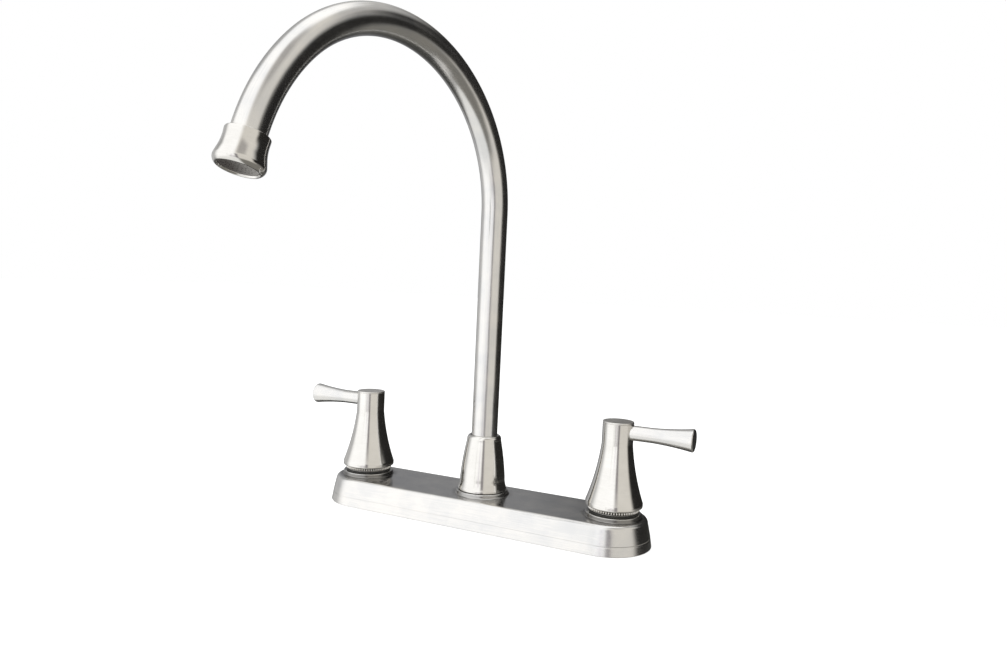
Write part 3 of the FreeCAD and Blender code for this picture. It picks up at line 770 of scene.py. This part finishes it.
def darken_gaps(made, x):
    """Painted shade between the beads: the faces in the gaps take a dark metal."""
    made.data.materials.append(BEAD_GAP_SHADE)
    for face in made.data.polygons:
        across = math.hypot(face.center.x / MM - x, face.center.y / MM)
        in_gap = BEAD_ROOT - 0.7 < across < BEAD_ROOT + 0.3
        if in_gap and BEAD_FOOT < face.center.z / MM < BEAD_TOP:
            face.material_index = 1


def base_ring_shape():
    """Rubber ring between boss and bead ring, with a wider foot."""
    foot = 17.2
    neck = 16.6
    corners = [
        (RING_BORE, BOSS_TOP, 0.2),
        (foot, BOSS_TOP, 0.3),
        (foot, 23.1, 0.4),
        (neck, 23.5, 0.2),
        (neck, BEAD_SEAT, 0.15),
        (RING_BORE, BEAD_SEAT, 0.15),
    ]
    return turned(outline(corners))


# ---- handle ----
def hub_shape():
    side = SKIRT_BOTTOM + 2.9
    inner_arc = arc((17.5, side), (11.75, 49.6), (8.5, 69.6), 40)
    room = [p for p in inner_arc if p[1] < 43.8]
    corners = [
        (19.7, SKIRT_BOTTOM, 1.6),
        (19.7, side),
        ("arc", 13.95, 49.6, 48),
        (NECK_RADIUS, 69.6),
        (NECK_RADIUS, HUB_TOP, 0.16),
        (6.5, HUB_TOP, 0.1),
        (6.5, STEM_TOP, 0.1),
        (4.05, STEM_TOP, 0.1),
        (4.05, 44.0, 0.2),
        (room[-1][0] - 0.1, 44.0, 0.6),
    ]
    corners += list(reversed(room))
    corners += [(17.5, side), (17.5, SKIRT_BOTTOM, 0.3)]
    points = outline(corners, steps=8)
    return turned(subdivided(points, 1.5), 144)


def lever_hole():
    """Cuts the round socket of the lever's stud into the neck."""
    lay_down = Matrix.Rotation(-math.pi / 2, 4, "Y")
    return drill(3.55, 0.0, 12.0, 48).moved(Matrix.Translation((0, 0, LEVER_HEIGHT)) @ lay_down)


def lever_shape():
    """Round lever along -X, swelling to its tip; its root fits the round neck."""
    turns = 96
    angle = np.linspace(0, FULL, turns, endpoint=False)
    seat = NECK_RADIUS + 0.025

    def saddle(radius):
        return np.sqrt(seat**2 - (radius * np.sin(angle)) ** 2)

    rows = []
    for along, radius in [(7.1, 0.0), (7.1, 1.6), (7.1, 3.2), (7.18, 3.42), (7.4, 3.5), (9.0, 3.5)]:
        rows.append((np.full(turns, along), radius))
    for radius in (3.5, 3.9, 4.3, 4.7, 4.95):
        rows.append((saddle(radius), radius))
    rows.append((saddle(5.1) + 0.06, 5.06))
    root = saddle(5.1) + 0.18
    for step in range(9):
        rows.append((root + (24.0 - root) * step / 8, 5.1))
    body = outline(
        [(24.0, 5.1), ("arc", 39.0, 6.15, 28), (51.0, 7.74), ("arc", 51.82, 7.4, 10), (LEVER_LENGTH, 6.7)],
        closed=False,
    )[1:]
    for along, radius in body:
        rows.append((np.full(turns, along), radius))
    for radius in (6.3, 4.9, 3.0, 1.2, 0.0):
        rows.append((np.full(turns, LEVER_LENGTH), radius))
    points = []
    grain = []
    for along, radius in rows:
        y = radius * np.sin(angle)
        z = radius * np.cos(angle)
        points.append(np.column_stack([-along, y, z + LEVER_HEIGHT]))
        grain.append(np.column_stack([y, z, along]))
    return Shape().grid(np.array(points), np.array(grain))


def cap_shape():
    corners = [
        (0.0, HANDLE_TOP + 0.12),
        ("arc", 5.0, HANDLE_TOP + 0.095, 8),
        (NECK_RADIUS, HANDLE_TOP, 0.7),
        (NECK_RADIUS, HUB_TOP, 0.14),
        (6.4, HUB_TOP),
        (6.4, HUB_TOP - 3.0, 0.3),
        (4.9, HUB_TOP - 3.0, 0.3),
        (4.9, HUB_TOP),
        (0.0, HUB_TOP),
    ]
    return turned(subdivided(outline(corners, closed=False, steps=6), 1.3), 128, closed=False)


# ---- spout ----
def spout_line():
    """Centre line of the spout in its own plane: (out, up, heading, length so far) of each point."""
    line = []
    for step in range(49):
        height = TUBE_FOOT + (RISER_TOP - TUBE_FOOT) * step / 48
        line.append((0.0, height, 0.0, height - TUBE_FOOT))
    run = RISER_TOP - TUBE_FOOT
    for step in range(1, 97):
        heading = BEND_SWEEP * step / 96
        out = BEND_RADIUS * (1 - math.cos(heading))
        up = RISER_TOP + BEND_RADIUS * math.sin(heading)
        line.append((out, up, heading, run + BEND_RADIUS * heading))
    out, up, heading, run = line[-1]
    centre_out = out + LEAD_RADIUS * math.cos(heading)
    centre_up = up - LEAD_RADIUS * math.sin(heading)
    for step in range(1, 25):
        turn = heading + LEAD_SWEEP * step / 24
        line.append(
            (
                centre_out - LEAD_RADIUS * math.cos(turn),
                centre_up + LEAD_RADIUS * math.sin(turn),
                turn,
                run + LEAD_RADIUS * (turn - heading),
            )
        )
    out, up, heading, run = line[-1]
    for step in range(1, 5):
        reach = SOCKET * step / 4
        line.append((out + reach * math.sin(heading), up + reach * math.cos(heading), heading, run + reach))
    return line


def tube_shape():
    turns = 112
    line = spout_line()
    angle = np.linspace(0, FULL, turns, endpoint=False)
    wall = 1.0

    def ring(station, radius, shift=0.0):
        out, up, heading, run = station
        along = np.array([math.sin(heading), 0.0, math.cos(heading)])
        side = np.array([-math.cos(heading), 0.0, math.sin(heading)])
        middle = np.array([out, 0.0, up]) + along * shift
        spread = np.cos(angle)[:, None] * side + np.sin(angle)[:, None] * np.array([0.0, 1.0, 0.0])
        grain = np.column_stack([SPOUT_RADIUS * np.cos(angle), SPOUT_RADIUS * np.sin(angle)])
        return middle + radius * spread, np.column_stack([grain, np.full(turns, run + shift)])

    inner = SPOUT_RADIUS - wall
    rows = [ring(line[0], SPOUT_RADIUS - 0.2), ring(line[0], SPOUT_RADIUS, 0.2)]
    rows += [ring(station, SPOUT_RADIUS) for station in line[1:-1]]
    rows += [ring(line[-1], SPOUT_RADIUS, -0.2), ring(line[-1], SPOUT_RADIUS - 0.2)]
    rows += [ring(line[-1], inner + 0.2), ring(line[-1], inner, -0.2)]
    rows += [ring(station, inner) for station in reversed(line[1:-1])]
    rows += [ring(line[0], inner, 0.2), ring(line[0], inner + 0.2)]
    points = np.array([r[0] for r in rows])
    grain = np.array([r[1] for r in rows])
    return Shape().grid(points, grain, wrap_rows=True).moved(Matrix.Rotation(SPOUT_TURN, 4, "Z"))


def outlet_place():
    """Puts a shape made along +Z on the end of the spout, pointing out of it."""
    out, up, heading, run = spout_line()[-5]
    lean = Matrix.Rotation(heading, 4, "Y")
    return Matrix.Rotation(SPOUT_TURN, 4, "Z") @ Matrix.Translation((out, 0, up)) @ lean


def bell_shape():
    corners = [
        (SPOUT_RADIUS + 0.05, 0.45),
        (SPOUT_RADIUS + 0.45, 0.0, 0.1),
        (11.9, 0.0, 0.6),
        (11.9, 1.6),
        ("arc", 11.85, 6.0, 14),
        (12.6, 11.0),
        ("arc", 13.15, 13.2, 8),
        (13.65, 15.5),
        ("arc", 13.05, 18.0, 14),
        (11.7, BELL_LENGTH),
        (11.2, BELL_LENGTH, 0.4),
        (10.6, BELL_LENGTH - 1.0, 0.5),
        (10.6, 9.2, 0.2),
        (8.2, 9.2, 0.2),
        (8.2, SOCKET, 0.2),
        (SPOUT_RADIUS + 0.05, SOCKET),
    ]
    return turned(subdivided(outline(corners, steps=6), 1.2), 128).moved(outlet_place())


def insert_shape():
    """Flow straightener: a plug with rings of small holes, their edges eased."""
    foot = 10.6
    top = BELL_LENGTH - 1.2
    rim = 10.5
    ease = 0.12
    radius = 0.4
    pitch = 2.1
    holes = [(0.0, 0.0)]
    for ring in (1, 2, 3, 4):
        for step in range(6 * ring):
            angle = FULL * step / (6 * ring)
            holes.append((pitch * ring * math.cos(angle), pitch * ring * math.sin(angle)))
    side = [(rim - ease, foot), (rim, foot + ease), (rim, foot + 3)]
    side += [(rim, top - 3), (rim, top - ease), (rim - ease, top)]
    shape = turned(side, 96, closed=False)
    wall = [(radius + ease, foot), (radius, foot + ease), (radius, top - ease), (radius + ease, top)]
    for x, y in holes:
        tube = turned(wall, 20, closed=False).moved(Matrix.Translation((x, y, 0)))
        shape.add(tube.points[0], tube.points[0], tube.faces)

    def inside(px, py):
        if math.hypot(px, py) > rim - ease:
            return False
        return all(math.hypot(px - x, py - y) > (radius + ease) * 0.995 for x, y in holes)

    loops = [circle(rim - ease, 0, 0, 96)] + [circle(radius + ease, x, y, 20) for x, y in holes]
    filled(shape, foot, loops, 1.2, False, inside)
    filled(shape, top, loops, 1.2, True, inside)
    dish = 1.3
    for points in shape.points:
        across = np.minimum(np.hypot(points[:, 0], points[:, 1]) / (rim - ease), 1.0)
        points[:, 2] -= np.where(points[:, 2] > top - 2 * ease, dish * (1 - across**2), 0.0)
    return shape.moved(outlet_place())


def shade_insert(made):
    """Paints shade on one side of the flow straightener, fading across it."""
    middle = Vector(sum((Vector(corner) for corner in made.bound_box), Vector()) / 8)
    dark_side = Vector((-0.9, -0.44, 0.0)) / MM
    reach = 6.5
    values = []
    for vertex in made.data.vertices:
        out = (vertex.co - middle).dot(dark_side) / reach
        values.append(min(1.0, max(0.0, 0.5 + 0.5 * out)))
    write_painted_shade(made, values)


def collar_shape():
    corners = [
        (18.0, 22.95, 0.2),
        (18.0, 24.2, 0.35),
        ("arc", 17.15, 26.8, 10),
        (16.6, 31.6),
        ("arc", 15.2, 44.6, 24),
        (12.6, 59.6),
        ("arc", 12.1, 62.1, 10),
        (10.9, 63.2),
        (SPOUT_RADIUS + 0.3, 63.2, 0.25),
        (SPOUT_RADIUS + 0.3, 54.3, 0.1),
        (11.6, 54.3, 0.1),
        (11.6, 31.9, 0.1),
        (13.85, 31.9, 0.1),
        (13.85, 23.3, 0.1),
        (16.7, 23.3, 0.1),
        (16.7, 22.95, 0.1),
    ]
    return turned(subdivided(outline(corners, steps=6), 1.5), 144)


# ---- under the deck ----
SHANK_RADIUS = 10.4775
GROOVE_RADIUS = 9.4775          # of the groove between the shank's long thread and its short one
THREAD_PITCH = 1.814
THREAD_DEPTH = 0.95


def thread_rows(bottom, length):
    """Points up the shank, eight for each turn of the thread."""
    count = int(length / THREAD_PITCH * 8)
    return [(SHANK_RADIUS, bottom + step * THREAD_PITCH / 8) for step in range(count)]


def thread_cut(radius, height, angle, bottom, top):
    """How deep a right hand thread goes into the shank; it fades out at its two ends."""
    phase = np.mod(height / THREAD_PITCH - angle / FULL, 1.0)
    wave = np.clip(np.abs(phase - 0.5) * 2.6 - 0.15, 0, 1)
    fade = np.clip((height - bottom) / 2.0, 0, 1) * np.clip((top - height) / 2.0, 0, 1)
    on_shank = abs(radius - SHANK_RADIUS) < 0.1
    return np.where(on_shank, THREAD_DEPTH * wave * fade, 0)


def shank_reach(radius, height, angle):
    """Cuts the two threads, one above the groove and one below it."""
    above = thread_cut(radius, height, angle, -40.0, 3.4)
    below = thread_cut(radius, height, angle, -56.5, -41.4)
    return radius - np.where(height > -40.5, above, below)


def valve_shape():
    points = [(6.0, -56.0), (9.9, -56.0), (SHANK_RADIUS, -55.6)] + thread_rows(-55.4, 13.7)
    points += [(SHANK_RADIUS, -41.6), (GROOVE_RADIUS, -41.5), (GROOVE_RADIUS, -40.0)]
    points += thread_rows(-39.9, 43.8) + [(SHANK_RADIUS, 3.95), (SHANK_RADIUS, 4.0)]
    points += outline(
        [
            (SHANK_RADIUS, 4.0),
            (16.5, 4.0, 0.3),
            (16.5, 7.0, 0.3),
            (14.5, 7.0, 0.2),
            (14.5, 30.0, 0.3),
            (11.3, 30.0, 0.3),
            (11.3, 7.0),
            (0.0, 7.0),
        ],
        closed=False,
    )[1:]
    points += [(0.0, 4.0), (6.0, 4.0)]
    return turned(points, 96, reach=shank_reach)


def valve_cutters():
    """The holes of a valve body: its side port, and the seal's seat with the inlet under it."""
    port = drill(4.8125, 0.0, 16.0)
    port.moved(Matrix.Translation((0, 0, 12.3)) @ Matrix.Rotation(math.pi / 2, 4, "Y"))
    off_axis = Matrix.Translation((0, -5.0, 0))
    return [port, drill(4.0, 5.4, 8.0).moved(off_axis), drill(2.6, 3.0, 6.0).moved(off_axis)]


def nut_shape():
    """Wing nut: a round body with four wings, all edges eased."""
    foot = -35.0
    top = -22.0
    bore = 10.53
    bore_edge = 0.5
    body = 15.0
    tip = 24.0
    half = 3.0                  # half the thickness of a wing
    fillet = 2.0
    fillet_turn = 0.16          # angle that the fillet beside a wing takes up
    edge = 0.9
    land = 2.5                  # from the outline in to the next points of the flat faces
    turns = 360
    angle = np.linspace(0, FULL, turns, endpoint=False)
    reach = np.full(turns, body)
    for i, off in enumerate(abs(np.mod(angle, math.pi / 2) - math.pi / 4)):
        wing = min(tip, half / max(math.sin(off), 1e-6))
        ease = body + fillet * max(0.0, 1 - (off - math.asin(half / body)) / fillet_turn) ** 2
        reach[i] = wing if wing > ease else max(body, min(ease, body + fillet))
    for step in range(6):
        reach = (np.roll(reach, 1) + 2 * reach + np.roll(reach, -1)) / 4

    def ring(radius, height):
        return np.column_stack([radius * np.cos(angle), radius * np.sin(angle), np.full(turns, height)])

    bends = [math.pi / 2 * step / 5 for step in range(6)]
    rows = [ring(bore, top - bore_edge), ring(bore + bore_edge, top), ring(reach - land, top)]
    for bend in bends:
        rows.append(ring(reach - edge * (1 - math.sin(bend)), top - edge * (1 - math.cos(bend))))
    for share in (0.25, 0.5, 0.75):
        rows.append(ring(reach, top - edge - share * (top - foot - 2 * edge)))
    for bend in bends:
        rows.append(ring(reach - edge * (1 - math.cos(bend)), foot + edge * (1 - math.sin(bend))))
    rows += [ring(reach - land, foot), ring(bore + bore_edge, foot), ring(bore, foot + bore_edge)]
    rows = np.array(rows)
    return Shape().grid(rows, rows, wrap_rows=True)


# ---- the pieces ----
def build_pieces():
    # painted shade on the bosses of the plate
    shade_bosses(piece("deck_plate", plate_shape(), "satin_nickel", 32))
    piece("collar_ring", ring_shape(14.1, 16.5, BOSS_TOP, 23.3, 0.2), "black_rubber")
    piece("spout_collar", collar_shape(), "polished_nickel")
    piece("spout_tube", tube_shape(), "satin_nickel")
    piece("aerator_housing", bell_shape(), "polished_nickel")
    # painted shade on one side of the flow straightener
    shade_insert(piece("aerator_insert", insert_shape(), "grey_plastic"))
    for name, side in (("left_", -1), ("right_", 1)):
        piece(name + "base_ring", at_valve(base_ring_shape(), side), "black_rubber")
        beads = piece(name + "bead_ring", at_valve(bead_shape(), side), "polished_nickel", 60)
        # painted shade between the beads
        darken_gaps(beads, side * VALVE_X)
        piece(
            name + "handle_hub",
            at_valve(hub_shape(), side),
            "polished_nickel",
            cutters=[at_valve(lever_hole(), side)],
        )
        piece(name + "handle_lever", at_valve(lever_shape(), side), "satin_nickel")
        cap = piece(name + "handle_cap", at_valve(cap_shape(), side), "polished_nickel")
        cap.data.materials[0] = FACED_NICKEL
        washer = ring_shape(10.98, 21.0, -22.0, -20.0, 0.3)
        piece(name + "mount_washer", at_valve(washer, side), "stainless_steel")
        piece(name + "mount_nut", at_valve(nut_shape(), side), "black_plastic")
        body = piece(
            name + "valve_body",
            at_valve(valve_shape(), side),
            "brass",
            cutters=[at_valve(tool, side) for tool in valve_cutters()],
        )
        body.data.materials[0] = TURNED_BRASS


def finish_cad_nodes():
    """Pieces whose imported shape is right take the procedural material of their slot."""
    own = {"satin_nickel", "polished_nickel"}
    for node in frame["nodes"].values():
        for index, material in enumerate(node.data.materials):
            slot = material.name.split(".")[0]
            if slot in MATERIALS and slot not in own:
                node.data.materials[index] = MATERIALS[slot]


# ---- camera, floor, light ----
CAMERA_AZIMUTH = math.radians(26.051)
CAMERA_DISTANCE = 569.512
CAMERA_HEIGHT = 177.504
CAMERA_YAW = math.radians(-1.076)
CAMERA_PITCH = math.radians(4.083)
CAMERA_ROLL = math.radians(2.706)
CAMERA_LENS = 27.789


def build_camera():
    data = bpy.data.cameras.new("camera")
    data.sensor_width = 36.0
    data.lens = CAMERA_LENS
    data.clip_start = 0.02
    data.clip_end = 60.0
    camera = bpy.data.objects.new("camera", data)
    bpy.context.scene.collection.objects.link(camera)
    heading = CAMERA_AZIMUTH + CAMERA_YAW
    ahead = Vector(
        (
            -math.sin(heading) * math.cos(CAMERA_PITCH),
            math.cos(heading) * math.cos(CAMERA_PITCH),
            -math.sin(CAMERA_PITCH),
        )
    )
    right = Vector((math.cos(heading), math.sin(heading), 0.0))
    up = right.cross(ahead)
    rolled_right = right * math.cos(CAMERA_ROLL) + up * math.sin(CAMERA_ROLL)
    rolled_up = up * math.cos(CAMERA_ROLL) - right * math.sin(CAMERA_ROLL)
    turn = Matrix((rolled_right, rolled_up, -ahead)).transposed().to_4x4()
    stand = Vector(
        (
            CAMERA_DISTANCE * math.sin(CAMERA_AZIMUTH),
            -CAMERA_DISTANCE * math.cos(CAMERA_AZIMUTH),
            CAMERA_HEIGHT,
        )
    )
    camera.matrix_world = Matrix.Translation(stand * MM) @ turn
    bpy.context.scene.camera = camera


def build_floor():
    """A plain white floor that glows a little to the camera, so that only shadow darkens it."""
    grey = 0.8
    glow_level = 0.62
    mesh = bpy.data.meshes.new("floor")
    reach = 6.0                 # metres
    low = -0.3 * MM             # just under the deck face, so that no face of the part lies in it
    corners = [(-reach, -reach, low), (reach, -reach, low), (reach, reach, low), (-reach, reach, low)]
    mesh.from_pydata(corners, [], [(0, 1, 2, 3)])
    floor = bpy.data.objects.new("floor", mesh)
    bpy.context.scene.collection.objects.link(floor)
    floor.visible_glossy = False
    material = bpy.data.materials.new("floor")
    material.use_nodes = True
    tree = material.node_tree
    tree.nodes.clear()
    output = tree.nodes.new("ShaderNodeOutputMaterial")
    total = tree.nodes.new("ShaderNodeAddShader")
    paint = tree.nodes.new("ShaderNodeBsdfDiffuse")
    paint.inputs["Color"].default_value = (grey, grey, grey, 1)
    glow = tree.nodes.new("ShaderNodeEmission")
    path = tree.nodes.new("ShaderNodeLightPath")
    seen = math_node(tree, "MAXIMUM", path.outputs["Is Camera Ray"], path.outputs["Is Glossy Ray"])
    seen = math_node(tree, "MAXIMUM", seen, path.outputs["Is Transmission Ray"])
    tree.links.new(math_node(tree, "MULTIPLY", seen, glow_level), glow.inputs["Strength"])
    tree.links.new(paint.outputs[0], total.inputs[0])
    tree.links.new(glow.outputs[0], total.inputs[1])
    tree.links.new(total.outputs[0], output.inputs[0])
    mesh.materials.append(material)


def build_lamp():
    data = bpy.data.lights.new("key", "AREA")
    data.shape = "RECTANGLE"
    data.size = 1.2
    data.size_y = 1.0
    data.energy = 9.0
    lamp = bpy.data.objects.new("key", data)
    bpy.context.scene.collection.objects.link(lamp)
    lamp.location = (-0.75, -0.95, 1.15)
    aim = Vector((0, -0.03, 0.1)) - lamp.location
    lamp.rotation_mode = "QUATERNION"
    lamp.rotation_quaternion = aim.to_track_quat("-Z", "Y")
    lamp.visible_glossy = False
    lamp.visible_camera = False


# Studio cards seen in the metal. Angles in degrees: azimuth from the camera's side of the
# part, positive to the camera's right, then elevation; half sizes; softness of the edges.
# Each is laid over the ones before it.
CARDS = [
    # name, azimuth, half azimuth, soft, elevation, half elevation, soft, colour
    ("room", 0, 200, 10, 0, 100, 10, (0.50, 0.50, 0.49)),
    ("wall_behind", 180, 75, 40, 2, 30, 24, (0.24, 0.242, 0.25)),
    ("low_behind", 185, 75, 50, -55, 42, 26, (0.07, 0.07, 0.066)),
    ("low_right", 60, 95, 50, -60, 44, 20, (0.235, 0.226, 0.205)),
    ("high_right", 95, 92, 30, 50, 22, 16, (0.57, 0.56, 0.54)),
    ("warm_wall", 32, 52, 16, 22, 46, 18, (0.82, 0.79, 0.735)),
    ("flag_low", 119, 49, 18, 1, 18, 16, (0.022, 0.021, 0.019)),
    ("flag_high", 132, 38, 20, 20, 24, 16, (0.02, 0.019, 0.018)),
    ("soft_box", -57, 52, 26, 20, 75, 18, (1.33, 1.33, 1.33)),
    ("left_falloff", -126, 26, 40, 4, 24, 24, (0.58, 0.58, 0.58)),
    ("floor_left", -58, 58, 34, -54, 30, 22, (1.01, 1.01, 0.99)),
    ("front_edge", -16, 16, 16, -15, 8, 8, (0.74, 0.73, 0.72)),
    ("ceiling_left", -140, 50, 20, 76, 20, 12, (1.26, 1.26, 1.26)),
    ("ceiling", 0, 200, 10, 90, 24, 14, (1.36, 1.36, 1.35)),
    ("visor", 30, 24, 22, 58, 15, 14, (0.48, 0.46, 0.44)),
    ("gap", -1, 6, 8, -2, 24, 16, (0.31, 0.29, 0.30)),
    ("fold_wide", -20, 3, 6, -8, 18, 14, (1.02, 0.98, 1.03)),
    ("fold_thin", -40, 2, 4, -8, 18, 14, (1.1, 1.1, 1.08)),
]


def card_mask(tree, direction, azimuth, half_az, soft_az, elevation, half_el, soft_el):
    """1 inside the card, 0 outside, with soft edges."""
    towards_camera = -math.pi / 2 + CAMERA_AZIMUTH
    turn = tree.nodes.new("ShaderNodeVectorRotate")
    turn.rotation_type = "Z_AXIS"
    turn.inputs["Angle"].default_value = -(towards_camera + math.radians(azimuth))
    tree.links.new(direction, turn.inputs["Vector"])
    parts = tree.nodes.new("ShaderNodeSeparateXYZ")
    tree.links.new(turn.outputs[0], parts.inputs[0])
    across = math_node(tree, "ABSOLUTE", math_node(tree, "ARCTAN2", parts.outputs[1], parts.outputs[0]))
    height = math_node(tree, "ARCSINE", parts.outputs[2])
    rise = math_node(tree, "ABSOLUTE", math_node(tree, "SUBTRACT", height, math.radians(elevation)))
    masks = []
    for value, half, soft in ((across, half_az, soft_az), (rise, half_el, soft_el)):
        edge = tree.nodes.new("ShaderNodeMapRange")
        edge.interpolation_type = "SMOOTHSTEP"
        edge.inputs["From Min"].default_value = math.radians(half + soft / 2)
        edge.inputs["From Max"].default_value = math.radians(half - soft / 2)
        tree.links.new(value, edge.inputs["Value"])
        masks.append(edge.outputs["Result"])
    return math_node(tree, "MULTIPLY", masks[0], masks[1])


def build_world():
    """White to the camera, a plain level on everything, and studio cards in the metal."""
    world = bpy.data.worlds.new("studio")
    bpy.context.scene.world = world
    world.use_nodes = True
    tree = world.node_tree
    tree.nodes.clear()
    output = tree.nodes.new("ShaderNodeOutputWorld")
    background = tree.nodes.new("ShaderNodeBackground")
    tree.links.new(background.outputs[0], output.inputs[0])
    direction = tree.nodes.new("ShaderNodeTexCoord").outputs["Generated"]
    cards = (0.0, 0.0, 0.0)
    for name, azimuth, half_az, soft_az, elevation, half_el, soft_el, shade in CARDS:
        mask = card_mask(tree, direction, azimuth, half_az, soft_az, elevation, half_el, soft_el)
        cards = mix_node(tree, mask, cards, shade, name)
    plain = (0.72, 0.72, 0.72)
    white = (1.0, 1.0, 1.0)
    path = tree.nodes.new("ShaderNodeLightPath")
    on_surfaces = mix_node(tree, path.outputs["Is Glossy Ray"], plain, cards)
    clear = math_node(tree, "MAXIMUM", path.outputs["Is Camera Ray"], path.outputs["Is Transmission Ray"])
    tree.links.new(mix_node(tree, clear, on_surfaces, white), background.inputs["Color"])
    background.inputs["Strength"].default_value = 1.0


finish_cad_nodes()
build_pieces()
build_camera()
build_floor()
build_lamp()
build_world()
bpy.context.scene.view_settings.view_transform = "Standard"
